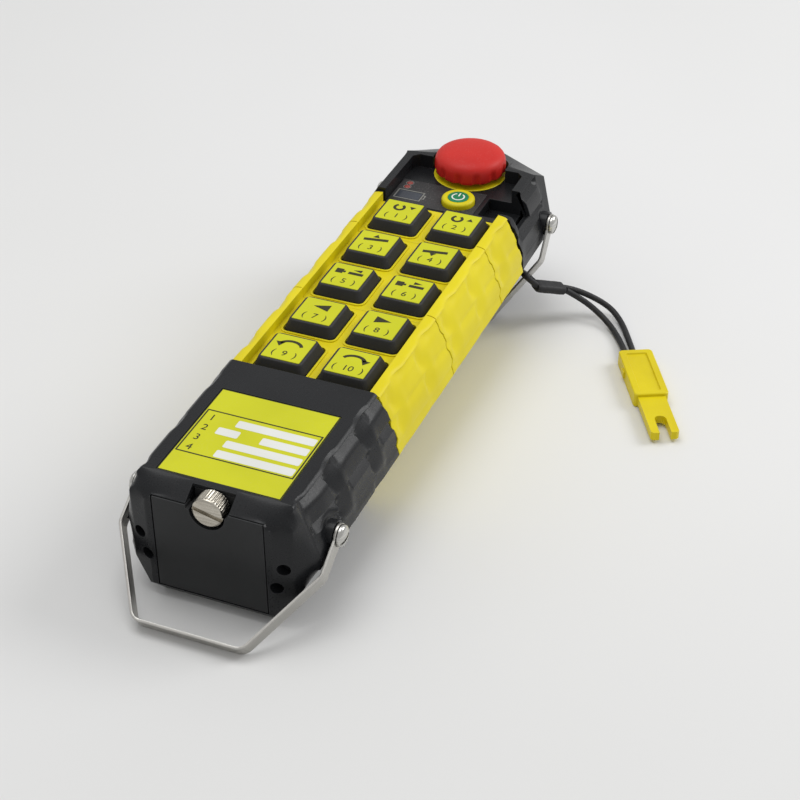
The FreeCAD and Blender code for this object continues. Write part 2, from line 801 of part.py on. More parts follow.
def panel_holes(name):
    """Holes for the power button and the lenses, and the pocket of the window."""
    holes = [through_floor(name + "_power", S.power_radius + S.slide_gap, S.power_x, power_y)]
    for i, (x, y) in enumerate(LENSES):
        holes.append(through_floor("%s_lens_%d" % (name, i), S.lens_radius + S.running_gap, x, y))
    grown = [(low - S.running_gap, high + S.running_gap) for low, high in window_span]
    holes.append(box(name + "_window", *grown, (window_low, S.cap_height)))
    return holes


node("far_cap", cut("far_cap_body", far_solid, socket_hole, *panel_holes("far_cap"),
                    through_floor("far_cap_stop", S.stop_neck + S.running_gap, 0, stop_y),
                    *pivot_bores("far", far_pivot)))
node("panel_sheet", cut("panel_sheet_body",
     box("panel_sheet_blank", (-S.well_half + S.slide_gap, panel_right),
         (far_joint + S.slide_gap, far_joint + S.sheet_length), (S.well_floor, S.well_floor + S.sheet_thick)),
     through_floor("panel_sheet_stop", S.stop_ring + S.slide_gap, 0, stop_y), *panel_holes("panel_sheet")))
lens_low = well_ceiling
node("indicator_lenses", group("indicator_lenses_set", *[
    cylinder("lens_%d" % i, S.lens_radius, S.floor_plate + S.sheet_thick * 2, (x, y, lens_low))
    for i, (x, y) in enumerate(LENSES)
]))
node("battery_window", box("battery_window_pane", *window_span, (window_low, S.well_floor + S.sheet_thick)))
node("panel_board", box("panel_board_plate", (panel_left, panel_right), (panel_start, panel_end),
                        panel_board))

# Power button: a flanged plunger under the floor with a coloured disc in its top
power_top = S.well_floor + S.power_rise
power_at = (S.power_x, power_y)
power_blank = join("power_blank",
                   cylinder("power_stem", S.power_radius, power_top - power_low, (*power_at, power_low)),
                   cylinder("power_lip", S.power_radius + S.power_flange, S.power_flange_thick,
                            (*power_at, power_low)))
node("power_button", cut("power_button_body", power_blank,
     cylinder("power_dish", S.power_disc + S.running_gap, S.power_disc_thick * 2,
              (*power_at, power_top - S.power_disc_thick))))
node("power_disc", cylinder("power_disc_plate", S.power_disc, S.power_disc_thick,
                            (*power_at, power_top - S.power_disc_thick)))
node("power_switch", square("power_switch_box", S.switch_side, power_at, panel_low,
                            panel_low + S.board_thick))

# Stop button: fluted mushroom head on a stem that slides in a threaded neck, with a contact block below
ring_top = S.well_floor + S.stop_ring_thick
neck_low = S.well_floor - S.stop_neck_length
stop_rim_low = S.well_floor + S.stop_rise
stop_rim_top = stop_rim_low + S.stop_rim
shoulder_top = stop_rim_top + S.stop_shoulder
at_stop = (0, stop_y)
ring_blank = join("stop_ring_blank",
                  cylinder("stop_ring_disc", S.stop_ring, S.stop_ring_thick, (*at_stop, S.well_floor)),
                  cylinder("stop_neck_tube", S.stop_neck, S.stop_neck_length + S.stop_ring_thick,
                           (*at_stop, neck_low)))
node("stop_ring", cut("stop_ring_body", ring_blank,
     cylinder("stop_ring_bore", S.stop_stem + S.running_gap, S.cap_height, (*at_stop, neck_low - S.wall))))
nut_low = well_ceiling - S.stop_nut_thick
node("stop_nut", cut("stop_nut_body",
     prism("stop_nut_hexagon", [[
         (S.stop_nut_radius * math.cos(turn), stop_y + S.stop_nut_radius * math.sin(turn))
         for turn in (math.pi / 3 * i for i in range(6))
     ]], nut_low, S.stop_nut_thick, "XY"),
     cylinder("stop_nut_bore", S.stop_neck + S.pivot_fit, S.cap_height, (*at_stop, nut_low - S.wall))))
stem_top = stop_rim_low + S.stop_rim / 2
node("stop_stem", cylinder("stop_stem_bar", S.stop_stem, stem_top - neck_low, (*at_stop, neck_low)))
head_blank = join("stop_head_blank",
                  cylinder("stop_head_rim", S.stop_head, S.stop_rim, (*at_stop, stop_rim_low)),
                  cone("stop_head_shoulder", S.stop_head, S.stop_shoulder_radius, S.stop_shoulder,
                       (*at_stop, stop_rim_top)),
                  cone("stop_head_dome", S.stop_shoulder_radius, S.stop_dome_radius, S.stop_dome,
                       (*at_stop, shoulder_top)))
FLUTES = 24
flutes = [
    cylinder("stop_flute_%d" % i, S.stop_flute, S.stop_rim + S.wall * 2, (
        (S.stop_head + S.stop_flute / 3) * math.cos(2 * math.pi * i / FLUTES),
        stop_y + (S.stop_head + S.stop_flute / 3) * math.sin(2 * math.pi * i / FLUTES),
        stop_rim_low - S.wall))
    for i in range(FLUTES)
]
head_bore = cylinder("stop_head_bore", S.stop_stem + S.running_gap, stem_top - neck_low + S.running_gap,
                     (*at_stop, neck_low))
node("stop_head", cut("stop_head_body", head_blank, head_bore, *flutes))
block_half = S.stop_block / 2
block_low = neck_low - S.stop_block_height
node("stop_contacts", cut("stop_contacts_body",
     box("stop_contacts_case", (-block_half, block_half), (stop_y - block_half, stop_y + block_half),
         (block_low, neck_low)),
     cylinder("stop_contacts_bore", S.stop_stem + S.slide_gap, S.stop_travel * 2,
              (*at_stop, neck_low - S.stop_travel - S.slide_gap))))

# Bails: flat strip bent to a U, on its edge, with an eyelet at each end
leg_x = leg_inner + S.strip_thick / 2


def strip_line(offset):
    """Right half of the strip's line, from its pivot to the crossbar, moved outwards by an offset."""
    slant = math.atan2((leg_x - S.bail_bar_half).value, (S.bail_reach - S.leg_length).value)
    at_bend = offset * math.tan(slant / 2)
    at_bar = offset * math.tan((math.pi / 2 - slant) / 2)
    return [
        (leg_x + offset, as_size(0)),
        (leg_x + offset, S.leg_length + at_bend),
        (S.bail_bar_half + at_bar, S.bail_reach + offset),
    ]


def make_bail(label, y, angle):
    half = S.strip_thick / 2
    outer = strip_line(half)
    inner = strip_line(-half)
    right = outer + [(-u, v) for u, v in reversed(outer)]
    left = [(-u, v) for u, v in inner] + list(reversed(inner))
    strip = prism(label + "_strip", [right + left], -S.strip_width / 2, S.strip_width, "XY")
    corners = [(point, radius) for line, radius in (
        (outer, (S.bail_bend + S.strip_thick).value), (inner, S.bail_bend.value)) for point in line[1:]]

    def bend(edge):
        middle = edge.CenterOfMass
        if abs(edge.tangentAt(edge.FirstParameter).z) < 0.5:
            return 0
        for (u, v), radius in corners:
            if abs(abs(middle.x) - u.value) < 1e-3 and abs(middle.y - v.value) < 1e-3:
                return radius
        return 0

    bent = fillet(label + "_bent", strip, bend)
    eyelets = [along_x("%s_eyelet_%s" % (label, side), S.eyelet_radius, sign, leg_inner,
                       leg_inner + S.strip_thick, 0, 0) for sign, side in SIDES]
    holes = [along_x("%s_hole_%s" % (label, side), S.pivot_radius + S.pivot_fit, sign, leg_inner - S.wall,
                     head_seat + S.wall, 0, 0) for sign, side in SIDES]
    bail = cut(label + "_body", join(label + "_blank", bent, *eyelets), *holes)
    place(bail, 0, y, S.pivot_height, FreeCAD.Rotation(Vector(1, 0, 0), 180 + angle))
    return node(label, bail)


far_angle = math.degrees(math.asin(((S.pivot_height + S.far_bail_drop) / S.bail_reach).value))
near_angle = math.degrees(math.asin(((S.pivot_height - S.near_bail_rise) / S.bail_reach).value))
make_bail("near_bail", near_pivot, near_angle)
make_bail("far_bail", far_pivot, far_angle)

# The table: from the heel of the near end to the lowest edge of the far bail's crossbar
heel_y = (near_end + S.heel_run).value
bar_y = far_pivot.value - S.bail_reach.value * math.cos(math.radians(far_angle))
bar_low = S.far_bail_drop.value + S.strip_width.value / 2 * math.cos(math.radians(far_angle))
TABLE = math.atan2(bar_low, bar_y - heel_y)


def table_height(y):
    return -math.tan(TABLE) * (y - heel_y)


# Safety key on the table: a flat handle with a forked blade
KEY_END = Vector(85.5, 77.2, 0)
KEY_TURN = -61.6
half = S.safety_width / 2
handle = box("safety_handle", (0, S.safety_length), (-half, half), (0, S.safety_thick))
handle_round = fillet("safety_handle_round", handle, lambda edge: 1.5
                      if abs(edge.tangentAt(edge.FirstParameter).z) > 0.5 else 0)
blade_low = (S.safety_thick - S.fork_thick) / 2
blade = box("safety_blade", (S.safety_length - S.wall, S.safety_length + S.fork_length),
            (S.fork_width * -0.5, S.fork_width / 2), (blade_low, blade_low + S.fork_thick))
slot_end = S.safety_length + S.fork_length
slot_start = slot_end - S.fork_slot_depth
fork_slot = box("safety_slot", (slot_start, slot_end + S.wall), (S.fork_slot * -0.5, S.fork_slot / 2),
                (0, S.safety_thick))
fork_arch = cylinder("safety_arch", S.fork_slot / 2, S.safety_thick, (slot_start, 0, 0))
safety_key = cut("safety_key_body", join("safety_blank", handle_round, blade), fork_slot, fork_arch)
safety_key.Placement = FreeCAD.Placement(
    Vector(KEY_END.x, KEY_END.y, table_height(KEY_END.y)),
    FreeCAD.Rotation(Vector(1, 0, 0), -math.degrees(TABLE)) * FreeCAD.Rotation(Vector(0, 0, 1), KEY_TURN))
node("safety_key", safety_key)

# Tether: a cord looped round the far bail's right leg, gathered in a sleeve, both strands to the key
LOOP = [(38.6, 89.9, 8.9), (36.3, 87.9, 12.1), (32.1, 89.3, 14.0), (29.3, 97.4, 9.4), (34.8, 97.4, 5.6),
        (38.6, 92.1, 7.1)]
STRAND_A = [(46.6, 102.2, 2.9), (55.0, 106.5, -0.9), (64.7, 109.7, -6.9), (71.9, 103.9, -9.2),
            (79.4, 90.6, -8.6), (85.3, 77.7, -6.4)]
STRAND_B = [(48.4, 99.8, 2.9), (55.0, 103.3, -2.2), (63.6, 102.0, -7.0), (70.7, 96.3, -8.8),
            (77.6, 86.2, -8.4), (82.5, 76.2, -6.3)]


def cord(label, points, diameter):
    """A tube of straight runs joined by tangent arcs."""
    points = [Vector(*point) for point in points]
    runs = [b - a for a, b in zip(points, points[1:])]
    edges = []
    radii = []
    start = points[0]
    for corner, before, after in zip(points[1:], runs, runs[1:]):
        half_turn = before.getAngle(after) / 2
        reach = 0.45 * min(before.Length, after.Length)
        radii.append(reach / math.tan(half_turn))
        arrive = corner - before * (reach / before.Length)
        leave = corner + after * (reach / after.Length)
        to_middle = (arrive + leave) / 2 - corner
        middle = corner + to_middle * ((radii[-1] / math.cos(half_turn) - radii[-1]) / to_middle.Length)
        edges.append(Part.makeLine(start, arrive))
        edges.append(Part.Arc(arrive, middle, leave).toShape())
        start = leave
    edges.append(Part.makeLine(start, points[-1]))
    spine = Part.Wire(edges)
    ring = Part.Wire(Part.makeCircle(diameter / 2, points[0], runs[0]))
    tube = spine.makePipeShell([ring], True, True)
    section = math.pi * diameter ** 2 / 4
    print("%s: length %.1f, radii %s, volume over section times length %.3f" % (
        label, spine.Length, ["%.1f" % r for r in radii], tube.Volume / (section * spine.Length)))
    return node(label, solid(label + "_tube", tube))


cord("tether_loop", LOOP, S.tether_diameter.value)
cord("tether_strand_a", STRAND_A, S.tether_diameter.value)
cord("tether_strand_b", STRAND_B, S.tether_diameter.value)

loop_mouth = (Vector(*LOOP[0]) + Vector(*LOOP[-1])) / 2
strand_mouth = (Vector(*STRAND_A[0]) + Vector(*STRAND_B[0])) / 2
sleeve_run = strand_mouth - loop_mouth
sleeve_axis = Vector(sleeve_run).normalize()
loop_clear = S.tether_diameter.value + S.slide_gap.value * 3
strand_clear = S.tether_diameter.value / 2
sleeve_run.Length -= loop_clear + strand_clear
sleeve_from = loop_mouth + sleeve_axis * loop_clear
strand_half = S.tether_diameter * 0.6
skin = S.tether_diameter / 2 + S.sleeve_skin
sleeve = join("tether_sleeve_body",
              cylinder("tether_sleeve_a", skin, sleeve_run.Length, (-strand_half, 0, 0)),
              cylinder("tether_sleeve_b", skin, sleeve_run.Length, (strand_half, 0, 0)),
              box("tether_sleeve_web", (-strand_half, strand_half), (-skin, skin), (0, sleeve_run.Length)))
sideways = Vector(*STRAND_B[0]) - Vector(*STRAND_A[0])
sleeve.Placement = FreeCAD.Placement(sleeve_from, FreeCAD.Rotation(sideways, Vector(), sleeve_run, "ZXY"))
node("tether_sleeve", sleeve)


DOC.recompute()
os.makedirs("parts", exist_ok=True)
for obj in DOC.Objects:
    if "Invalid" in obj.State or "Error" in obj.State:
        raise RuntimeError("%s failed: %s" % (obj.Name, obj.State))
for obj in NODES:
    if obj.Shape.isNull() or not obj.Shape.isValid():
        raise RuntimeError(obj.Label + " has no valid shape")
    obj.Shape.exportStep("parts/%s.step" % obj.Label)
    print("%-18s solids %2d  volume %9.1f" % (obj.Label, len(obj.Shape.Solids), obj.Shape.Volume))
print(len(NODES), "nodes; table slope %.3f degrees" % math.degrees(TABLE))
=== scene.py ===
import math

import bmesh
import bpy
from mathutils import Matrix, Vector


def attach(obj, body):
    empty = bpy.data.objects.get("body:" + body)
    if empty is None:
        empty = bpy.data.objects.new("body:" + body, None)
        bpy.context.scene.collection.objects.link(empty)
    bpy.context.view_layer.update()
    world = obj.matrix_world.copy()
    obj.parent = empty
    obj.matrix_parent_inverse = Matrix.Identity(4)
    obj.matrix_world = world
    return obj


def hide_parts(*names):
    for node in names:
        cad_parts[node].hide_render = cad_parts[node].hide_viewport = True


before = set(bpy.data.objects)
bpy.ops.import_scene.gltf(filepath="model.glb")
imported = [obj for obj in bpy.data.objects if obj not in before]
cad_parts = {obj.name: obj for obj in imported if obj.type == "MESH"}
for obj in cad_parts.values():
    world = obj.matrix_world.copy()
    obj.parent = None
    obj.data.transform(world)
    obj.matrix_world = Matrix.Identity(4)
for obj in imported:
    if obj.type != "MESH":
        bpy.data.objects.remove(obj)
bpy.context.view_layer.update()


# Near cap: the black end housing round the cells, moulded in glass-filled nylon with a spark-eroded grain.
# Its flanks carry rows of long lapped facets for the hand, and a narrow bridge spans the slot over the
# door's tongue. Four screws from the end hold it.
MM = 0.001


def colour(red, green, blue):
    """A shader colour from the 0 to 255 values that a picture shows."""
    linear = [v / 255 / 12.92 if v < 10.3 else ((v / 255 + 0.055) / 1.055) ** 2.4 for v in (red, green, blue)]
    return (*linear, 1.0)


def new_group(name, inputs, outputs):
    """An empty shader group with its sockets, and its input and output nodes."""
    group = bpy.data.node_groups.new(name, "ShaderNodeTree")
    for label, value in inputs.items():
        socket = group.interface.new_socket(label, in_out="INPUT", socket_type="NodeSocketFloat")
        socket.default_value = value
    for label in outputs:
        group.interface.new_socket(label, in_out="OUTPUT", socket_type="NodeSocketFloat")
    return group, group.nodes.new("NodeGroupInput"), group.nodes.new("NodeGroupOutput")


def wire(tree, *pairs):
    for source, target in pairs:
        tree.links.new(source, target)


def ramp(tree, source, low, high, to_low=0.0, to_high=1.0):
    """A value stretched from one range to another, and clamped there."""
    step = tree.nodes.new("ShaderNodeMapRange")
    for socket, number in zip(step.inputs[1:5], (low, high, to_low, to_high)):
        socket.default_value = number
    tree.links.new(source, step.inputs[0])
    return step.outputs[0]


def work(tree, operation, *sources):
    step = tree.nodes.new("ShaderNodeMath")
    step.operation = operation
    wire(tree, *zip(sources, step.inputs))
    return step.outputs[0]


def own_place(tree):
    return tree.nodes.new("ShaderNodeTexCoord").outputs["Object"]


def split(tree, vector):
    parts = tree.nodes.new("ShaderNodeSeparateXYZ")
    wire(tree, (vector, parts.inputs[0]))
    return parts.outputs


def cloud(tree, scale, detail):
    """Noise in the object's own coordinates."""
    step = tree.nodes.new("ShaderNodeTexNoise")
    step.inputs["Detail"].default_value = detail
    wire(tree, (own_place(tree), step.inputs["Vector"]), (scale, step.inputs["Scale"]))
    return step.outputs["Fac"]


def moulded_grain_group():
    """Fine grain of a spark-eroded mould, and slow drifts of tone."""
    group, given, made = new_group("moulded_grain", {"Grain": 1800.0, "Drift": 45.0}, ("Height", "Tone"))
    grain = cloud(group, given.outputs["Grain"], 4.0)
    drift = cloud(group, given.outputs["Drift"], 3.0)
    wire(group, (grain, made.inputs["Height"]), (ramp(group, drift, 0.35, 0.68), made.inputs["Tone"]))
    return group


def edge_wear_group():
    """Where handling has rubbed the edges: edges found by rounding the normal, broken up by noise."""
    group, given, made = new_group("edge_wear", {"Radius": 0.0007, "Breakup": 420.0}, ("Mask",))
    rounded = group.nodes.new("ShaderNodeBevel")
    rounded.samples = 4
    plain = group.nodes.new("ShaderNodeNewGeometry")
    facing = group.nodes.new("ShaderNodeVectorMath")
    facing.operation = "DOT_PRODUCT"
    wire(group, (given.outputs["Radius"], rounded.inputs["Radius"]), (rounded.outputs[0], facing.inputs[0]),
         (plain.outputs["True Normal"], facing.inputs[1]))
    edge = ramp(group, facing.outputs["Value"], 0.995, 0.86)
    patchy = ramp(group, cloud(group, given.outputs["Breakup"], 5.0), 0.38, 0.66, 0.25, 1.0)
    wire(group, (work(group, "MULTIPLY", edge, patchy), made.inputs["Mask"]))
    return group


def dust_group():
    """Pale dust that lies on what faces up, in specks and faint patches."""
    group, given, made = new_group("settled_dust", {"Specks": 2600.0, "Patches": 60.0}, ("Mask",))
    facing = group.nodes.new("ShaderNodeNewGeometry").outputs["Normal"]
    up = ramp(group, split(group, facing)["Z"], 0.1, 0.9)
    specks = ramp(group, cloud(group, given.outputs["Specks"], 2.0), 0.62, 0.76)
    patches = ramp(group, cloud(group, given.outputs["Patches"], 4.0), 0.35, 0.75, 0.2, 1.0)
    lying = work(group, "MULTIPLY", up, specks)
    wire(group, (work(group, "MULTIPLY", lying, patches), made.inputs["Mask"]))
    return group


MOULDED_GRAIN = moulded_grain_group()
EDGE_WEAR = edge_wear_group()
SETTLED_DUST = dust_group()


def use_group(tree, group, **values):
    step = tree.nodes.new("ShaderNodeGroup")
    step.node_tree = group
    for label, number in values.items():
        step.inputs[label].default_value = number
    return step


def blend(tree, factor, first, second):
    """Two colours mixed by a mask; each is a colour or the socket of one."""
    step = tree.nodes.new("ShaderNodeMix")
    step.data_type = "RGBA"
    tree.links.new(factor, step.inputs["Factor"])
    for socket, value in ((step.inputs[6], first), (step.inputs[7], second)):
        if isinstance(value, tuple):
            socket.default_value = value
        else:
            tree.links.new(value, socket)
    return step.outputs[2]


def new_material(name):
    material = bpy.data.materials.new(name)
    material.use_nodes = True
    return material, material.node_tree, material.node_tree.nodes["Principled BSDF"]


def roughen(tree, shader, height, strength, distance):
    """Bump from a height into the shader's normal."""
    bump = tree.nodes.new("ShaderNodeBump")
    bump.inputs["Strength"].default_value = strength
    bump.inputs["Distance"].default_value = distance
    wire(tree, (height, bump.inputs["Height"]), (bump.outputs["Normal"], shader.inputs["Normal"]))


def moulded_plastic(name, main, deep, worn, gloss=(0.38, 0.52), grain=1800.0, relief=0.25, wear=0.6,
                    dust=0.35, shine=0.28):
    """Moulded plastic: two drifting tones, rubbed edges, a little dust and a grained skin."""
    material, tree, shader = new_material(name)
    skin = use_group(tree, MOULDED_GRAIN, Grain=grain)
    edges = ramp(tree, use_group(tree, EDGE_WEAR).outputs["Mask"], 0.0, 1.0, 0.0, wear)
    specks = ramp(tree, use_group(tree, SETTLED_DUST).outputs["Mask"], 0.0, 1.0, 0.0, dust)
    toned = blend(tree, skin.outputs["Tone"], colour(*main), colour(*deep))
    rubbed = blend(tree, edges, toned, colour(*worn))
    dusty = blend(tree, specks, rubbed, colour(196, 194, 188))
    wire(tree, (dusty, shader.inputs["Base Color"]),
         (ramp(tree, skin.outputs["Height"], 0.3, 0.7, *gloss), shader.inputs["Roughness"]))
    shader.inputs["Specular IOR Level"].default_value = shine
    roughen(tree, shader, skin.outputs["Height"], relief, 0.05 * MM)
    return material


HOUSING_BLACK = moulded_plastic("housing_black", (30, 31, 33), (26, 27, 29), (54, 55, 57),
                                (0.25, 0.36), dust=0.1, shine=0.24)


def bare_copy(node):
    """An editable copy of a CAD node's mesh, welded, with each flat face whole."""
    shape = bmesh.new()
    shape.from_mesh(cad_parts[node].data)
    bmesh.ops.remove_doubles(shape, verts=shape.verts, dist=0.002 * MM)
    bmesh.ops.dissolve_limit(shape, angle_limit=math.radians(0.5), verts=shape.verts, edges=shape.edges)
    shape.normal_update()
    return shape


def soften(shape, width, chosen, segments=2):
    """Round the sharp edges for which chosen(middle, edge) is true."""
    edges = []
    for edge in shape.edges:
        middle = (edge.verts[0].co + edge.verts[1].co) / 2 / MM
        if edge.is_manifold and edge.calc_face_angle(0.0) > math.radians(24) and chosen(middle, edge):
            edges.append(edge)
    bmesh.ops.bevel(shape, geom=edges, offset=width * MM, segments=segments, profile=0.5, affect="EDGES",
                    clamp_overlap=True)
    bmesh.ops.connect_verts_concave(shape, faces=shape.faces[:])


def put(name, data):
    """A new object in the scene."""
    thing = bpy.data.objects.new(name, data)
    bpy.context.scene.collection.objects.link(thing)
    return thing


def add_piece(name, shape, body, material, crease=32, stands_for=()):
    """A shape becomes a piece of the object that rides on a body."""
    bmesh.ops.recalc_face_normals(shape, faces=shape.faces)
    mesh = bpy.data.meshes.new(name)
    shape.to_mesh(mesh)
    shape.free()
    for label in [a.name for a in mesh.attributes if a.name in ("custom_normal", "UVMap")]:
        mesh.attributes.remove(mesh.attributes[label])
    mesh.shade_smooth()
    mesh.set_sharp_from_angle(angle=math.radians(crease))
    mesh.materials.append(material)
    piece = put(name, mesh)
    flat = piece.modifiers.new("flat_faces", "WEIGHTED_NORMAL")
    flat.keep_sharp = True
    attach(piece, body)
    if stands_for:
        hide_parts(*stands_for)
    return piece


def smooth_step(low, high, value):
    share = min(1.0, max(0.0, (value - low) / (high - low)))
    return share * share * (3 - 2 * share)


class Flank:
    """The six-sided section of a shell, swelled a little, with the shingles in its sides, in millimetres."""

    wide_high, wide_low = 26.7, 22.7
    margin, row, strip, brink = 1.2, 10.0, 0.38, 0.64
    dip_start, key_pitch = -74.0, 26.25

    def __init__(self, base, wide, top, height, quiet, depth, start=-67.5, pitch=26.25, swell=1.6, lip=0.0,
                 dip=(-0.06, 0.2, 0.26, 0.46), proud=0.0, belt=0.0, under=0.0, groove=1.0, calm=None):
        self.base, self.wide, self.top, self.height, self.quiet = base, wide, top, height, quiet
        self.depth, self.start, self.pitch, self.swell = depth, start, pitch, swell
        self.lip, self.dip, self.proud, self.belt, self.under = lip, dip, proud, belt, under
        self.groove, self.calm = groove, calm or quiet
        self.upper = math.hypot(wide - top, height - self.wide_high)
        self.lower = math.hypot(wide - base, self.wide_low)

    def half(self, z):
        if z > self.wide_high:
            return self.wide + (self.top - self.wide) * (z - self.wide_high) / (self.height - self.wide_high)
        return self.wide if z > self.wide_low else self.base + (self.wide - self.base) * z / self.wide_low

    def down(self, z):
        """Way down the flank from its top edge."""
        if z > self.wide_high:
            return self.upper * (self.height - z) / (self.height - self.wide_high)
        if z > self.wide_low:
            return self.upper + self.wide_high - z
        return self.upper + self.wide_high - self.wide_low + self.lower * (1 - z / self.wide_low)

    def level(self, way):
        """Height at a way down the flank."""
        if way < self.upper:
            return self.height - way * (self.height - self.wide_high) / self.upper
        way -= self.upper
        band = self.wide_high - self.wide_low
        if way < band:
            return self.wide_high - way
        return self.wide_low * (1 - (way - band) / self.lower)

    def swelling(self, way):
        """How far the skin stands out: most halfway down the upper flank, and again on the lower one."""
        share = way / self.upper
        below = max(0.0, way - self.upper) / (self.wide_high - self.wide_low + self.lower)
        rise = 4 * self.swell * share * (1 - share) if share < 1 else 4 * self.under * below * (1 - below)
        edge = self.proud * (1 - smooth_step(0.0, 0.4, share))
        return rise + edge + self.belt * smooth_step(0.3, 1.0, share) * (1 - smooth_step(0.2, 0.8, below))

    def scallop(self, y):
        """Share of the dip that each cell has in its top edge."""
        cell = (y - self.dip_start) / self.key_pitch % 1.0
        rise, full, fall, end = self.dip
        cell -= cell > 0.8
        return smooth_step(rise, full, cell) * (1 - smooth_step(fall, end, cell))

    def brink_at(self, lap):
        """Share of a cell at which its shingle ends; the end bows towards the near side."""
        return self.brink + 0.12 * (2 * lap - 1) ** 2

    def snap(self, y, z, reach):
        """The start or end of a shingle if one is within reach, so that corners of the net lie on it."""
        lap = (self.down(z) - self.margin) / self.row
        cell = (y - self.start) / self.pitch % 1.0
        if lap < 0 or self.quiet(y, z) < 0.9:
            return y
        for line in (0.0, self.brink_at(lap % 1.0), 1.0):
            if abs(cell - line) * self.pitch <= reach:
                return y + (line - cell) * self.pitch
        return y

    def shingle(self, y, way):
        """How far a shingle is cut in: a groove with a rising strip, and a scoop up to the next shingle."""
        lap = (way - self.margin) / self.row
        if lap < 0:
            return 0.0
        first, lap = lap < 1, lap % 1.0
        cell = (y - self.start + 1e-4) / self.pitch % 1.0
        brink = self.brink_at(lap)
        if cell > brink + 1e-4:
            share = (cell - brink) / (1 - brink)
            return self.depth * (1 - share) * (1 - 0.5 * (2 * lap - 1) ** 2)
        if lap < 0.05:
            deep = lap / 0.05 if first else 0.3 + 0.7 * lap / 0.05
        elif lap < self.strip:
            deep = 1 - (lap - 0.05) / (self.strip - 0.05)
        else:
            deep = 0.3 * (lap - self.strip) / (1 - self.strip)
        return self.depth * deep * smooth_step(0.0, 0.12, cell) * self.groove

    def press(self, y, z):
        """How far the skin is pressed in, or less than nothing where it stands out."""
        way = self.down(z)
        edge = self.lip * self.scallop(y) * (1 - smooth_step(0.0, 8.0, way))
        relief = self.shingle(y, way) * (1 - 0.8 * smooth_step(0.75, 0.95, way / self.upper))
        return (edge + relief) * self.quiet(y, z) - self.swelling(way) * self.calm(y, z)

    def wave(self, z):
        """How far a seam wanders along the body on its way down the flank."""
        way = self.down(z)
        wander = 0.6 * math.sin(0.72 * way + 0.9) + 0.3 * math.sin(1.6 * way + 2.0)
        return smooth_step(0.5, 3.0, way) * wander

    def on_skin(self, point, reach):
        x, z = abs(point.x) / MM, point.z / MM
        return x > self.half(z) - reach and -0.01 < z < self.height + 0.01


def cut_net(shape, tag, cuts):
    """Cut the tagged faces by planes, each given by an axis and a place along it in millimetres."""
    for axis, place in cuts:
        near = []
        for face in shape.faces:
            if face[tag]:
                ways = [v.co[axis] for v in face.verts]
                if min(ways) < place * MM - 1e-6 and max(ways) > place * MM + 1e-6:
                    near.append(face)
        parts = {*near, *(e for f in near for e in f.edges), *(v for f in near for v in f.verts)}
        across = Vector([float(i == axis) for i in range(3)])
        bmesh.ops.bisect_plane(shape, geom=list(parts), dist=1e-7, plane_co=across * place * MM,
                               plane_no=across)


def relax(shape, verts, turns, along=(True, True, True)):
    """Even out corners of a net along the axes that are named."""
    for _ in range(turns):
        bmesh.ops.smooth_vert(shape, verts=verts, factor=0.5, use_axis_x=along[0], use_axis_y=along[1],
                              use_axis_z=along[2])


def press_flanks(shape, flank, start, end, step=1.05, soft=0, reach=1.3, seams=(), gap=0.0):
    """Cut the flanks into a fine net, press the shingles into it and let the seams wander."""
    tag = shape.faces.layers.int.new("skin")
    for face in shape.faces:
        face[tag] = int(all(flank.on_skin(v.co, reach) for v in face.verts) and abs(face.normal.x) > 0.15)
    cuts = [(1, start + step * i) for i in range(1, int((end - start - 0.2) / step) + 1)]
    total = flank.upper + flank.wide_high - flank.wide_low + flank.lower
    for row in range(6):
        for lap in (0.0, 0.05, 0.13, 0.21, 0.29, 0.38, 0.52, 0.66, 0.8, 0.92):
            way = flank.margin + flank.row * (row + lap)
            if way < total - 0.2:
                cuts.append((2, flank.level(way)))
    cut_net(shape, tag, cuts)
    moved = [v for v in shape.verts if flank.on_skin(v.co, reach)]
    for vert in moved:
        x, y, z = vert.co / MM
        if start + step < y < end - step:
            y = flank.snap(y, z, step / 2)
            vert.co.y = y * MM
        inset = 1 - smooth_step(0.3, reach, flank.half(z) - abs(x))
        vert.co.x -= flank.press(y, z) * inset * math.copysign(MM, x)
        for seam in seams:
            vert.co.y += flank.wave(z) * max(0.0, 1 - abs(y - seam) / 7.0) ** 2 * MM
            vert.co.y += math.copysign(gap * max(0.0, 1 - abs(y - seam)) * MM, start + end - 2 * seam)
    relax(shape, [v for v in moved if all(f[tag] for f in v.link_faces)], soft, (True, False, False))
    shape.faces.layers.int.remove(tag)
    shape.normal_update()


NEAR_END, NEAR_JOINT, NEAR_PIVOT, PIVOT_HEIGHT, HEEL_RISE = -130.25, -55.25, -109.25, 28.6, 5.0
NEAR_CHAMFER, NEAR_CHAMFER_DROP, CAP_TOP = 7.7, 4.7, 48.1
CAP_SECTION = (21.1, 36.2, 28.2, CAP_TOP)
BOSS_EDGE, BOSS_FREE = 5.6, 8.2


def clear_of(pivot, y, z):
    """0 round a bail's pivot boss, 1 away from it."""
    return smooth_step(BOSS_EDGE, BOSS_FREE, math.hypot(y - pivot, z - PIVOT_HEIGHT))


near_flank = Flank(
    *CAP_SECTION, depth=2.0, swell=1.8, lip=0.9, proud=-0.2, under=0.9,
    quiet=lambda y, z: smooth_step(NEAR_END + 8.6, NEAR_END + 10.6, y) * clear_of(NEAR_PIVOT, y, z),
    calm=lambda y, z: smooth_step(NEAR_END + 8.6, NEAR_END + 24, y) * clear_of(NEAR_PIVOT, y, z))


def near_front(x, z):
    """Where the near end's outside lies at a place across it."""
    x = abs(x)
    corner = 2.2 * (x - 23.0) / 7.0 if x < 30.0 else 2.2 + 6.4 * (x - 30.0) / 6.2
    slant = NEAR_CHAMFER * (z - CAP_TOP + NEAR_CHAMFER_DROP) / NEAR_CHAMFER_DROP
    return NEAR_END + max(0.0, corner, slant)


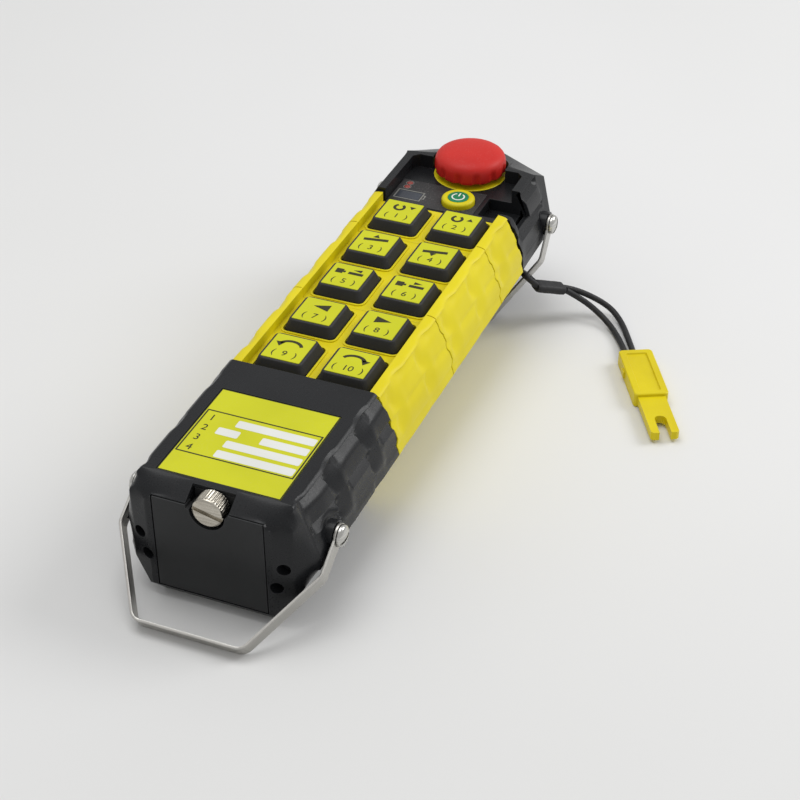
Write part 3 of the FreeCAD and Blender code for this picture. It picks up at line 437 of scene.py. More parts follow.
def round_near_end(shape, turns):
    """Cut the outside of the near end into a net and relax it, which rounds its corners."""
    tag = shape.faces.layers.int.new("outside")
    for face in shape.faces:
        middle = face.calc_center_median() / MM
        if middle.y < NEAR_END + 30:
            on_end = face.normal.y < -0.2 and middle.y < near_front(middle.x, middle.z) + 0.8
            on_side = near_flank.on_skin(middle * MM, 0.8) and abs(face.normal.x) > 0.15
            face[tag] = int(on_end or on_side or (middle.z > CAP_TOP - 0.1 and face.normal.z > 0.9))
    cuts = [(1, NEAR_END + 1.1 * i) for i in range(1, 14)] + [(2, 1.1 * i) for i in range(1, 44)]
    cut_net(shape, tag, cuts + [(0, side * (18.0 + 1.1 * i)) for i in range(17) for side in (-1, 1)])
    free = []
    for vert in shape.verts:
        x, y, z = vert.co / MM
        rim = abs(x) > near_flank.half(z) - 7.5 or z > CAP_TOP - NEAR_CHAMFER_DROP - 1.5
        if y < NEAR_END + 13.5 and z > 17 and rim and all(f[tag] for f in vert.link_faces):
            free.append(vert)
    relax(shape, free, turns)
    shape.faces.layers.int.remove(tag)
    shape.normal_update()


def stack(shape, rings, place=Matrix()):
    """A solid through outlines with equal counts, each given with its height, closed at both ends."""
    levels = [[shape.verts.new(place @ Vector((x, y, z)) * MM) for x, y in outline] for outline, z in rings]
    shape.faces.new(levels[0][::-1])
    shape.faces.new(levels[-1])
    for low, high in zip(levels, levels[1:]):
        for i in range(len(low)):
            j = (i + 1) % len(low)
            shape.faces.new((low[i], low[j], high[j], high[i]))


near_cap = bare_copy("near_cap")
soften(near_cap, 1.1, lambda m, edge: edge.calc_length() > 12 * MM and m.y > NEAR_END + 8 and
       abs(m.x) > near_flank.half(m.z) - 1.0 and m.z > 40.0, 3)
soften(near_cap, 0.3, lambda m, edge: edge.calc_length() > 3 * MM and abs(m.z - HEEL_RISE) > 0.3 and (
    m.z > 46.0 or m.y < NEAR_END + 3.5) and abs(m.x) < near_flank.half(m.z) - 4.0)
round_near_end(near_cap, 60)
press_flanks(near_cap, near_flank, NEAR_END, NEAR_JOINT, seams=(NEAR_JOINT,))
BRIDGE, BRIDGE_HALF = [(6.85, 46.3), (9.05, 46.3), (9.05, 48.02), (7.75, 48.02), (6.85, 47.5)], 8.3
across = Matrix(((0, 0, 1, 0), (1, 0, 0, NEAR_END), (0, 1, 0, 0), (0, 0, 0, 1)))
stack(near_cap, [(BRIDGE, -BRIDGE_HALF), (BRIDGE, BRIDGE_HALF)], across)
add_piece("near_cap_shell", near_cap, "housing", HOUSING_BLACK, 29, ("near_cap",))


# Screws of the near cap: four pan-head screws deep in their wells, blackened steel, driven from the end.
# They aren't seen well, so the CAD solids stay and only get their finish.
def drawn_streaks_group():
    """Fine lines along a drawn strip whose width leans by an angle from upright."""
    group, given, made = new_group("drawn_streaks", {"Lean": 0.0, "Fine": 2400.0}, ("Height",))
    parts = split(group, own_place(group))
    ahead = work(group, "MULTIPLY", parts["Y"], work(group, "SINE", given.outputs["Lean"]))
    upward = work(group, "MULTIPLY", parts["Z"], work(group, "COSINE", given.outputs["Lean"]))
    across = work(group, "SUBTRACT", ahead, upward)
    lines = group.nodes.new("ShaderNodeTexNoise")
    lines.noise_dimensions = "1D"
    lines.inputs["Detail"].default_value = 4.0
    wire(group, (across, lines.inputs["W"]), (given.outputs["Fine"], lines.inputs["Scale"]),
         (lines.outputs["Fac"], made.inputs["Height"]))
    return group


DRAWN_STREAKS = drawn_streaks_group()


def bare_metal(name, main, deep, gloss, lean=0.0, fine=2400.0, relief=0.15):
    """Metal with drawn lines, slow stains and duller patches."""
    material, tree, shader = new_material(name)
    lines = use_group(tree, DRAWN_STREAKS, Lean=lean, Fine=fine).outputs["Height"]
    stains = use_group(tree, MOULDED_GRAIN, Grain=700.0, Drift=120.0)
    lined = blend(tree, ramp(tree, lines, 0.35, 0.65), colour(*main), colour(*deep))
    stained = ramp(tree, stains.outputs["Tone"], 0.0, 1.0, 0.0, 0.5)
    wire(tree, (blend(tree, stained, lined, colour(*deep)), shader.inputs["Base Color"]),
         (ramp(tree, stains.outputs["Height"], 0.3, 0.7, *gloss), shader.inputs["Roughness"]))
    shader.inputs["Metallic"].default_value = 1.0
    roughen(tree, shader, lines, relief, 0.02 * MM)
    return material


def dress(material, *nodes):
    """CAD solids that are carried over get their finish."""
    for node in nodes:
        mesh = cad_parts[node].data
        mesh.materials.clear()
        mesh.materials.append(material)


dress(bare_metal("blackened_steel", (70, 70, 72), (48, 48, 50), (0.35, 0.5)), "near_cap_screws")


# Cells in their sleeve: four shrink-wrapped cells in a black moulded tube, with a contact board behind them
# and brass springs on the door. All of it is out of sight behind the door.
def circuit_board(name):
    """Green solder mask over copper tracks."""
    material, tree, shader = new_material(name)
    tracks = tree.nodes.new("ShaderNodeTexBrick")
    for label, value in (("Color1", colour(28, 92, 52)), ("Color2", colour(24, 78, 46)),
                         ("Mortar", colour(52, 122, 70)), ("Scale", 220.0), ("Mortar Size", 0.03)):
        tracks.inputs[label].default_value = value
    wire(tree, (own_place(tree), tracks.inputs["Vector"]),
         (tracks.outputs["Color"], shader.inputs["Base Color"]))
    shader.inputs["Roughness"].default_value = 0.35
    return material


def cell_wrap(name, start, band):
    """Dark blue shrink film with a pale band at the positive end."""
    material, tree, shader = new_material(name)
    skin = use_group(tree, MOULDED_GRAIN, Grain=900.0)
    film = blend(tree, skin.outputs["Tone"], colour(38, 58, 104), colour(30, 46, 88))
    edge = ramp(tree, split(tree, own_place(tree))["Y"], (start + band) * MM, (start + band + 0.2) * MM)
    wire(tree, (blend(tree, edge, colour(186, 188, 190), film), shader.inputs["Base Color"]),
         (ramp(tree, skin.outputs["Height"], 0.3, 0.7, 0.25, 0.35), shader.inputs["Roughness"]))
    return material


BOARD_GREEN = circuit_board("board_green")
INNER_BLACK = moulded_plastic("inner_black", (46, 46, 47), (38, 38, 39), (66, 66, 67))
SEAL_RUBBER = moulded_plastic("seal_rubber", (30, 30, 31), (24, 24, 25), (40, 40, 41),
                              (0.6, 0.75), grain=1200.0, relief=0.2, wear=0.3, dust=0.2)
CELLS_START, PALE_BAND = -111.15, 9.0
dress(cell_wrap("cell_wrap", CELLS_START, PALE_BAND), "battery_cells")
dress(INNER_BLACK, "battery_sleeve")
dress(BOARD_GREEN, "contact_board")
dress(bare_metal("contact_brass", (214, 186, 110), (196, 164, 92), (0.25, 0.4)), "door_contacts")
dress(SEAL_RUBBER, "door_gasket")


# Battery door: the end's middle panel, moulded in the cap's black nylon with a smoother face, pulled out
# once the thumb screw is undone. Its tongue stands behind the screw's head.
DOOR_BLACK = moulded_plastic("door_black", (37, 38, 39), (33, 34, 35), (64, 65, 67),
                             (0.36, 0.46), grain=1500.0, relief=0.18, wear=0.6, dust=0.1)
battery_door = bare_copy("battery_door")
soften(battery_door, 0.35, lambda m, edge: edge.calc_length() > 1.5 * MM)
add_piece("battery_door_panel", battery_door, "battery_door", DOOR_BLACK, 30,
          ("battery_door",))


# Thumb screw: turned from brass bar and nickel plated, with a smooth front, a straight knurl behind it
# and a coin slot. It holds the battery door by its tongue.
def lathe(shape, profile, sides, place, ripple=None):
    """A turned solid round local Z through (radius, height) points; ripple cuts into its skin."""
    rings = []
    for radius, height in profile:
        ring = []
        for i in range(sides if radius else 1):
            turn = 2 * math.pi * i / sides
            r = radius - ripple(turn, radius, height) if ripple and radius else radius
            point = Vector((r * math.cos(turn), r * math.sin(turn), height))
            ring.append(shape.verts.new(place @ point * MM))
        rings.append(ring)
    for low, high in zip(rings, rings[1:]):
        for i in range(sides):
            j = (i + 1) % sides
            corners = [low[i % len(low)], low[j % len(low)], high[j % len(high)], high[i % len(high)]]
            shape.faces.new(list(dict.fromkeys(corners)))


def oblong(width, depth, x=0.0, y=0.0):
    return [(x + width / 2 * u, y + depth / 2 * v) for u, v in ((-1, -1), (1, -1), (1, 1), (-1, 1))]


def carve(shape, cutter):
    """One shape cut out of another."""
    pair = []
    for part in (shape, cutter):
        bmesh.ops.recalc_face_normals(part, faces=part.faces)
        mesh = bpy.data.meshes.new("carving")
        part.to_mesh(mesh)
        part.free()
        pair.append(put("carving", mesh))
    tool = pair[0].modifiers.new("cut", "BOOLEAN")
    tool.object = pair[1]
    tool.solver = "EXACT"
    done = bmesh.new()
    done.from_object(pair[0], bpy.context.evaluated_depsgraph_get())
    for part in pair:
        mesh = part.data
        bpy.data.objects.remove(part)
        bpy.data.meshes.remove(mesh)
    return done


THUMB_HEIGHT, THUMB_REACH, THUMB_HEAD, THUMB_RADIUS, THUMB_TEETH = 42.0, 17.2, 6.6, 5.65, 32
THUMB_END = NEAR_END + THUMB_REACH
NICKEL = bare_metal("nickel_plate", (206, 200, 188), (178, 172, 160), (0.24, 0.36), fine=900.0)


def straight_knurl(turn, radius, height):
    """Teeth along the rear two thirds of the head."""
    behind = THUMB_REACH - height
    on_head = 1.9 < behind < THUMB_HEAD - 0.5 and radius > THUMB_RADIUS - 0.35
    return 0.18 * (1 - math.cos(THUMB_TEETH * turn)) * on_head


thumb_place = Matrix.Translation((0, THUMB_END, THUMB_HEIGHT)) @ Matrix.Rotation(math.radians(90), 4, "X")
thumb_back = THUMB_REACH - THUMB_HEAD
thumb_screw = bmesh.new()
lathe(thumb_screw, [
    (0, 0), (1.8, 0), (2.2, 0.4), (2.2, thumb_back), (5.1, thumb_back), (5.5, thumb_back + 0.4),
    (THUMB_RADIUS, thumb_back + 0.6), (THUMB_RADIUS, THUMB_REACH - 2.0), (THUMB_RADIUS, THUMB_REACH - 0.8),
    (5.5, THUMB_REACH - 0.35), (4.9, THUMB_REACH), (0, THUMB_REACH),
], 11 * THUMB_TEETH, thumb_place, straight_knurl)
coin_slot = bmesh.new()
stack(coin_slot, [(oblong(16, 1.6), THUMB_REACH - 1.0), (oblong(16, 1.6), THUMB_REACH + 1.0)],
      thumb_place @ Matrix.Rotation(math.radians(-14), 4, "Z"))
add_piece("thumb_screw_turned", carve(thumb_screw, coin_slot), "thumb_screw", NICKEL, 30,
          ("thumb_screw",))


# Label plate: a thin yellow film plate in the cap's recess. Its print is a frame with blank white fields
# numbered from one to four; names and marks of the real one are left out.
def rounded_square(half, corner, steps=5, x=0.0, y=0.0, stretch=0.0):
    """A square outline with round corners, made longer along X by twice the stretch."""
    outline = []
    for k, (u, v) in enumerate(((1, 1), (-1, 1), (-1, -1), (1, -1))):
        for i in range(steps + 1):
            turn = math.pi / 2 * (k + i / steps)
            outline.append((x + u * (half + stretch - corner) + corner * math.cos(turn),
                            y + v * (half - corner) + corner * math.sin(turn)))
    return outline


def ribbon(shape, line, width, low, high, place=Matrix(), closed=False):
    """A strip of even width along a line of points, lying flat between two heights."""
    points = [Vector(point) for point in line]
    count = len(points)
    rows = []
    for i, point in enumerate(points):
        ways = []
        if closed or i:
            ways.append((point - points[i - 1]).normalized())
        if closed or i < count - 1:
            ways.append((points[(i + 1) % count] - point).normalized())
        along = sum(ways, Vector((0, 0))).normalized()
        aside = Vector((-along.y, along.x)) * (width / 2 / max(0.5, along.dot(ways[0])))
        rows.append([shape.verts.new(place @ Vector((*(point + side), z)) * MM)
                     for side, z in ((aside, low), (-aside, low), (-aside, high), (aside, high))])
    for first, second in zip(rows, rows[1:] + rows[:1] if closed else rows[1:]):
        for i in range(4):
            j = (i + 1) % 4
            shape.faces.new((first[i], first[j], second[j], second[i]))
    if not closed:
        shape.faces.new(rows[0][::-1])
        shape.faces.new(rows[-1])


def figures(shape, text, size, low, high, place):
    """Raised figures from the built-in letter shapes."""
    curve = bpy.data.curves.new("figures", "FONT")
    curve.body = text
    curve.size = size
    curve.align_x = "CENTER"
    curve.align_y = "CENTER"
    curve.extrude = (high - low) / 2
    curve.resolution_u = 3
    writing = put("figures", curve)
    mesh = bpy.data.meshes.new_from_object(writing.evaluated_get(bpy.context.evaluated_depsgraph_get()))
    mesh.transform(Matrix.Scale(MM, 4) @ place @ Matrix.Translation((0, 0, (low + high) / 2)))
    shape.from_mesh(mesh)
    bpy.data.objects.remove(writing)
    bpy.data.curves.remove(curve)
    bpy.data.meshes.remove(mesh)
    bmesh.ops.remove_doubles(shape, verts=shape.verts, dist=0.001 * MM)


PRINTED = {"gloss": (0.45, 0.55), "grain": 1400.0, "relief": 0.05, "wear": 0.2, "dust": 0.1}
LABEL_FILM = moulded_plastic("label_film", (203, 204, 24), (195, 196, 20), (184, 184, 50),
                             (0.4, 0.5), grain=1400.0, relief=0.08, wear=0.3, dust=0.25)
PRINT_DARK = moulded_plastic("print_dark", (52, 51, 26), (44, 43, 22), (80, 78, 40), **PRINTED)
PRINT_WHITE = moulded_plastic("print_white", (226, 227, 222), (218, 219, 213), (206, 206, 190), **PRINTED)
PLATE_TOP = 47.9
PLATE_INK = (PLATE_TOP - 0.05, PLATE_TOP + 0.05)
FRAME_X, FRAME_START, FRAME_END = 21.6, -109.6, -85.4
FIELDS = [[(-8.8, 20.8)], [(-13.6, -5.2), (3.0, 20.6)], [(-7.8, 20.6)], [(-8.4, 20.8)]]
FIELD_HALF, FIRST_FIELD, FIELD_PITCH = 1.95, -89.3, 5.8
dress(LABEL_FILM, "label_plate")
label_lines = bmesh.new()
ribbon(label_lines, oblong(2 * FRAME_X, FRAME_END - FRAME_START, 0, (FRAME_START + FRAME_END) / 2), 0.55,
       *PLATE_INK, closed=True)
ribbon(label_lines, oblong(44.9, 48.2, 0, -96.9), 0.3, PLATE_TOP - 0.05, PLATE_TOP + 0.04, closed=True)
label_fields = bmesh.new()
label_numbers = bmesh.new()
for number, spans in enumerate(FIELDS):
    middle = FIRST_FIELD - FIELD_PITCH * number
    figures(label_numbers, str(number + 1), 4.6, *PLATE_INK, Matrix.Translation((-18.2, middle, 0)))
    for left, right in spans:
        stretch = (right - left) / 2 - FIELD_HALF
        field = rounded_square(FIELD_HALF, 0.6, 4, (left + right) / 2, middle, stretch)
        stack(label_fields, [(field, PLATE_TOP - 0.05), (field, PLATE_TOP + 0.04)])
add_piece("label_lines", label_lines, "housing", PRINT_DARK)
add_piece("label_fields", label_fields, "housing", PRINT_WHITE)
add_piece("label_numbers", label_numbers, "housing", PRINT_DARK)


# Bail screws: stainless dome heads with a slot, one at each end of both bails, in the caps' bosses.
# They leave the bails free to swing.
STAINLESS = bare_metal("stainless_screw", (214, 213, 209), (186, 185, 181), (0.2, 0.32), fine=1500.0)
FAR_PIVOT, HEAD_SEAT, BOSS_INNER = 107.5, 38.4, 29.0
shank = [(0, BOSS_INNER - HEAD_SEAT), (1.95, BOSS_INNER - HEAD_SEAT), (1.95, 0)]
dome = [(4.0, 0.0), (4.0, 0.45)] + [
    (4.0 * math.cos(math.radians(a)), 0.45 + 1.75 * math.sin(math.radians(a))) for a in (12, 26, 42, 60, 78)]
bail_screws = bmesh.new()
for y in (NEAR_PIVOT, FAR_PIVOT):
    for side in (-1, 1):
        seat = Matrix.Translation((HEAD_SEAT * side, y, PIVOT_HEIGHT)) @ Matrix.Rotation(
            math.radians(90 * side), 4, "Y")
        screw = bmesh.new()
        lathe(screw, shank + dome + [(0, 2.2)], 48, seat)
        slot = bmesh.new()
        stack(slot, [(oblong(9, 1.0), 1.15), (oblong(9, 1.0), 3.0)],
              seat @ Matrix.Rotation(math.radians(35 + y), 4, "Z"))
        mesh = bpy.data.meshes.new("bail_screw")
        cut = carve(screw, slot)
        cut.to_mesh(mesh)
        cut.free()
        bail_screws.from_mesh(mesh)
        bpy.data.meshes.remove(mesh)
add_piece("bail_screw_domes", bail_screws, "housing", STAINLESS, 30, ("bail_screws",))


# Near bail: flat stainless strip bent to a U on its edge, with an eyelet at each end. It lies on the table.
# The edges are tumbled smooth and the faces keep the lines of the drawn strip.
def bail_strip(node, lean):
    """A bail from its CAD strip, with the drawn lines along the leaning strip."""
    strip = bare_copy(node)
    soften(strip, 0.18, lambda m, edge: True)
    steel = bare_metal(node + "_steel", (206, 204, 199), (180, 178, 173), (0.3, 0.42), math.radians(lean))
    add_piece(node + "_strip", strip, node, steel, 30, (node,))


bail_strip("near_bail", 32.1)


# Grip: three yellow moulded tubes end to end with a sunk floor for the keys. The lips are scalloped beside
# each key row, the flanks carry softer lapped facets, and a thin ridge runs round each key hole.
GRIP_YELLOW = moulded_plastic("grip_yellow", (226, 210, 14), (217, 200, 10), (232, 219, 70),
                              (0.36, 0.48), grain=1600.0, relief=0.2, wear=0.35, dust=0.3)
SEAMS = (-0.875, 51.625)
GRIP_START, GRIP_END = -54.45, 77.5
KEY_FLOOR = 42.4
KEY_X = 12.5
grip_flank = Flank(20.3, 35.4, 27.4, 46.6, quiet=lambda y, z: 1.0, depth=1.8, swell=1.9, lip=1.2,
                   dip=(0.1, 0.24, 0.34, 0.58), proud=1.1, belt=0.6, under=1.6, groove=0.4)
ends = (GRIP_START, *SEAMS, GRIP_END)
for name, start, end in zip(("grip_near", "grip_middle", "grip_far"), ends, ends[1:]):
    segment = bare_copy(name)
    soften(segment, 1.5, lambda m, edge: m.z > 46.3 and abs(m.x) > 27 and edge.calc_length() > 9 * MM, 4)
    soften(segment, 0.3, lambda m, edge: edge.calc_length() > 3 * MM and (
        abs(m.x) > grip_flank.half(m.z) - 1.0 or m.z > 42.0))
    press_flanks(segment, grip_flank, start, end, step=1.2, soft=2, reach=1.7, seams=(start, end), gap=0.27)
    add_piece(name + "_tube", segment, "housing", GRIP_YELLOW, 28, (name,))
KEY_ROWS = [-40.25 + Flank.key_pitch * i for i in range(5)]
ridges = bmesh.new()
for y in KEY_ROWS:
    for x in (-KEY_X, KEY_X):
        ridge = rounded_square(11.0, 2.6, 5, x, y)
        ribbon(ridges, ridge, 0.8, KEY_FLOOR - 0.2, KEY_FLOOR + 0.45, closed=True)
soften(ridges, 0.2, lambda m, edge: m.z > KEY_FLOOR + 0.3)
add_piece("key_hole_ridges", ridges, "housing", GRIP_YELLOW)
dress(SEAL_RUBBER, "cap_gaskets")


# Boards: the main board with a switch under each key lies on a tray between the grip's walls, over the
# radio module in its tinned can and the antenna rod. None of it is seen.
dress(BOARD_GREEN, "main_board")
dress(INNER_BLACK, "key_switches", "board_tray", "antenna")
dress(bare_metal("tinned_can", (204, 205, 206), (186, 187, 189), (0.3, 0.45), fine=500.0), "radio_module")


# Keys: black rubber caps with slanted sides and round corners, on a flanged plunger under the floor.
# Each has a yellow film label in its top with a plain arrow mark and its number.
KEY_RUBBER = moulded_plastic("key_rubber", (48, 48, 50), (41, 41, 43), (68, 68, 70),
                             (0.5, 0.62), grain=2200.0, relief=0.3, wear=0.5, dust=0.2)
KEY_FILM = moulded_plastic("key_film", (203, 205, 22), (196, 198, 18), (188, 188, 50),
                           (0.38, 0.48), grain=1400.0, relief=0.08, wear=0.3, dust=0.3)
KEY_RINGS = ((11.5, 37.3, 0.5), (11.5, 39.6, 0.5), (10.2, 39.6, 2.4), (10.2, KEY_FLOOR, 2.4),
             (10.05, 43.1, 2.4), (8.72, 46.35, 2.0), (8.6, 46.62, 1.9), (8.4, 46.82, 1.8), (8.1, 46.9, 1.6),
             (7.72, 46.9, 1.2), (7.66, 46.76, 1.1))
LABEL_RINGS = ((7.6, 46.7, 0.3), (7.6, 47.08, 0.3), (7.52, 47.14, 0.25))
MARK = (47.1, 47.19)


def pointer(shape, x, y, turn, long, wide, place):
    """A triangle that points along an angle in degrees."""
    c, s = math.cos(math.radians(turn)), math.sin(math.radians(turn))
    flat = ((long / 2, 0), (-long / 2, wide / 2), (-long / 2, -wide / 2))
    corners = [(x + u * c - v * s, y + u * s + v * c) for u, v in flat]
    stack(shape, [(corners, MARK[0]), (corners, MARK[1])], place)


def bow(x, y, radius, start, end, flat=1.0, steps=14):
    """Points along an arc between two angles in degrees."""
    turns = [math.radians(start + (end - start) * i / steps) for i in range(steps + 1)]
    return [(x + radius * math.cos(t), y + radius * flat * math.sin(t)) for t in turns]


def draw_mark(shape, number, place):
    """The arrow mark of a key: one kind for each row, turned for the second key of the row."""
    row, second = (number - 1) // 2, number % 2 == 0
    if row == 0:
        ribbon(shape, bow(-1.2, 2.9, 2.0, 120, 420), 1.15, *MARK, place)
        pointer(shape, 4.1, 3.6, 90 if second else -90, 2.0, 2.6, place)
    elif row == 1:
        ribbon(shape, [(-5.0, 1.5), (4.8, 3.1)], 1.7, *MARK, place)
        pointer(shape, -0.6, 0.2 if second else 4.9, -90 if second else 90, 2.2, 2.8, place)
    elif row == 2:
        for bar in (oblong(3.0, 3.0, -4.2, 2.6), oblong(1.0, 1.2, -2.2, 2.6), oblong(6.0, 1.6, 2.6, 2.3)):
            stack(shape, [(bar, MARK[0]), (bar, MARK[1])], place)
        pointer(shape, 2.6, 4.6, 0 if second else 180, 3.4, 1.8, place)
    elif row == 3:
        pointer(shape, 0, 2.8, 0 if second else 180, 6.4, 4.2, place)
    else:
        ribbon(shape, bow(0, 1.0, 4.4, 160, 15, 0.75), 1.3, *MARK, place)
        tip = 15 if second else 160
        at = bow(0, 1.0, 4.4, tip, tip, 0.75, 1)[0]
        pointer(shape, at[0], at[1] - 0.6, -95 if second else -85, 2.8, 3.6, place)


for number in range(1, 11):
    middle = Matrix.Translation((-KEY_X if number % 2 else KEY_X, KEY_ROWS[4 - (number - 1) // 2], 0))
    name = "key_%d" % number
    cap = bmesh.new()
    stack(cap, [(rounded_square(half, corner), z) for half, z, corner in KEY_RINGS], middle)
    add_piece(name + "_cap", cap, name, KEY_RUBBER, 38, (name,))
    film = bmesh.new()
    stack(film, [(rounded_square(half, corner), z) for half, z, corner in LABEL_RINGS], middle)
    add_piece(name + "_film", film, name, KEY_FILM, 38, ("key_label_%d" % number,))
    mark = bmesh.new()
    draw_mark(mark, number, middle)
    figures(mark, "(  %d  )" % number, 4.5, *MARK, middle @ Matrix.Translation((0, -3.8, 0)))
    add_piece(name + "_mark", mark, name, PRINT_DARK)


# Far cap: the black end housing with the stop button, moulded like the near one. A well is sunk in its
# top, a notch in its right wall takes the safety key, and the wall between notch and grip is low.
FAR_JOINT, TAIL_START, SOCKET_START, SILL = 78.3, 111.0, 81.6, 44.4
SOCKET_X, SILL_SLOPE = 14.0, 0.1
far_flank = Flank(
    *CAP_SECTION, depth=2.3, start=28.0, pitch=50.0, swell=1.2, proud=-0.5,
    quiet=lambda y, z: (1.0 - smooth_step(TAIL_START - 1.2, TAIL_START - 0.5, y)) * clear_of(FAR_PIVOT, y, z))
far_cap = bare_copy("far_cap")
soften(far_cap, 0.5, lambda m, edge: edge.calc_length() > 3 * MM and (
    m.z > 41.0 or abs(m.x) > far_flank.half(m.z) - 1.0 or m.y > TAIL_START + 4))
press_flanks(far_cap, far_flank, FAR_JOINT, TAIL_START, seams=(FAR_JOINT,))
for vert in far_cap.verts:
    if vert.co.x > SOCKET_X * MM and vert.co.y < SOCKET_START * MM and vert.co.z > SILL * MM:
        vert.co.z = SILL * MM + (vert.co.z - SILL * MM) * SILL_SLOPE
add_piece("far_cap_shell", far_cap, "housing", HOUSING_BLACK, 24, ("far_cap",))


# Panel in the well: a dark speckled sheet with two indicator lenses and a battery-level window in a printed
# frame. The panel board with the power switch sits under it.
WELL_FLOOR, SHEET_TOP = 42.2, 42.5
SHEET_INK = (SHEET_TOP - 0.1, SHEET_TOP + 0.05)
LENS_X, LENS_PLACES = -20.3, (91.9, 95.1)
LENS_PROFILE = [(0, 39.7), (1.3, 39.7), (1.3, 42.55), (1.15, 42.68), (0.8, 42.76), (0.4, 42.79), (0, 42.8)]
PANEL_DARK = moulded_plastic("panel_sheet", (56, 55, 56), (46, 46, 47), (74, 74, 75),
                             (0.4, 0.55), grain=900.0, relief=0.3, wear=0.4, dust=0.5)
WINDOW_PANE = moulded_plastic("window_pane", (62, 66, 74), (50, 53, 60), (84, 88, 94),
                              (0.12, 0.2), grain=600.0, relief=0.03, wear=0.3, dust=0.2)
dress(PANEL_DARK, "panel_sheet")
dress(WINDOW_PANE, "battery_window")
dress(BOARD_GREEN, "panel_board")
dress(INNER_BLACK, "power_switch")
LENS_RED = moulded_plastic("lens_red", (150, 74, 68), (128, 56, 52), (176, 110, 104),
                           (0.15, 0.25), grain=600.0, relief=0.03, wear=0.3, dust=0.1)
lenses = bmesh.new()
for y in LENS_PLACES:
    lathe(lenses, LENS_PROFILE, 32, Matrix.Translation((LENS_X, y, 0)))
add_piece("lens_domes", lenses, "housing", LENS_RED, 40, ("indicator_lenses",))
PRINT_PALE = moulded_plastic("print_pale", (128, 128, 124), (116, 116, 113), (140, 140, 136), **PRINTED)
panel_print = bmesh.new()
ribbon(panel_print, oblong(11.2, 6.7, -17.0, 85.8), 0.5, *SHEET_INK, closed=True)
ribbon(panel_print, [(-11.2, 84.5), (-10.2, 84.5), (-10.2, 87.1), (-11.2, 87.1)], 0.5, *SHEET_INK)
for y in LENS_PLACES:
    ribbon(panel_print, bow(LENS_X, y, 1.6, 0, 345), 0.25, *SHEET_INK, closed=True)
add_piece("panel_print", panel_print, "housing", PRINT_PALE)


# Power button: a yellow moulded button with a rolled rim and a green disc in its dish, which bears the pale
# mark for on. It presses a switch on the panel board.
POWER_X, POWER_Y, POWER_LOW, POWER_TOP = 3.9, 87.9, 37.9, 45.0
BUTTON_YELLOW = moulded_plastic("button_yellow", (216, 202, 12), (206, 190, 10), (228, 214, 66),
                                (0.32, 0.42), grain=1500.0, relief=0.1, wear=0.3, dust=0.2)
power_place = Matrix.Translation((POWER_X, POWER_Y, 0))
power_button = bmesh.new()
lathe(power_button, [
    (0, POWER_LOW), (7.7, POWER_LOW), (7.7, POWER_LOW + 1.5), (6.9, POWER_LOW + 1.5), (6.9, POWER_TOP - 1.3),
    (6.8, POWER_TOP - 0.75), (6.5, POWER_TOP - 0.35), (6.0, POWER_TOP - 0.1), (5.5, POWER_TOP),
    (5.0, POWER_TOP - 0.04), (4.6, POWER_TOP - 0.14), (4.4, POWER_TOP - 0.4), (0, POWER_TOP - 0.4),
], 96, power_place)
add_piece("power_button_rim", power_button, "power_button", BUTTON_YELLOW, 35,
          ("power_button",))
DISC_GREEN = moulded_plastic("disc_green", (24, 128, 84), (18, 114, 74), (64, 150, 112), (0.3, 0.4),
                             grain=1500.0, relief=0.05)
power_disc = bmesh.new()
lathe(power_disc, [
    (0, POWER_TOP - 0.4), (4.3, POWER_TOP - 0.4), (4.3, POWER_TOP - 0.2), (4.15, POWER_TOP - 0.12),
    (0, POWER_TOP - 0.1),
], 72, power_place)
add_piece("power_disc_cap", power_disc, "power_button", DISC_GREEN, 35, ("power_disc",))
DISC_INK = (POWER_TOP - 0.16, POWER_TOP - 0.04)
power_mark = bmesh.new()
ribbon(power_mark, bow(0, 0, 2.5, 60, -240, 1.0, 30), 0.6, *DISC_INK, power_place)
ribbon(power_mark, [(0, 0.4), (0, 3.0)], 0.6, *DISC_INK, power_place)
add_piece("power_mark", power_mark, "power_button", PRINT_WHITE)


# Stop button: a red moulded mushroom head with flutes round its rim, on a stem in a threaded neck with a
# yellow ring. A nut under the floor holds the neck, and the contact block hangs below.
STOP_Y, RIM_LOW, RING_TOP, NECK_LOW, STEM_BORE = 112.2, 44.7, 42.7, 34.0, 5.1
FLUTES, FLUTE_WIDTH, FLUTE_DEPTH = 24, 0.42, 0.8
stop_place = Matrix.Translation((0, STOP_Y, 0))
STOP_RED = moulded_plastic("stop_red", (202, 40, 32), (192, 33, 27), (212, 78, 66),
                           (0.42, 0.55), grain=1500.0, relief=0.15, wear=0.4, dust=0.3)


def flutes(turn, radius, height):
    """Grooves in the rim that fade out on the shoulder."""
    groove = max(0.0, 1.0 - abs((turn * FLUTES / 2 / math.pi + 1) % 2 - 1) / FLUTE_WIDTH)
    fade = 1.0 - smooth_step(47.2, 50.4, height)
    return FLUTE_DEPTH * math.sqrt(groove) * fade * (radius > 11)


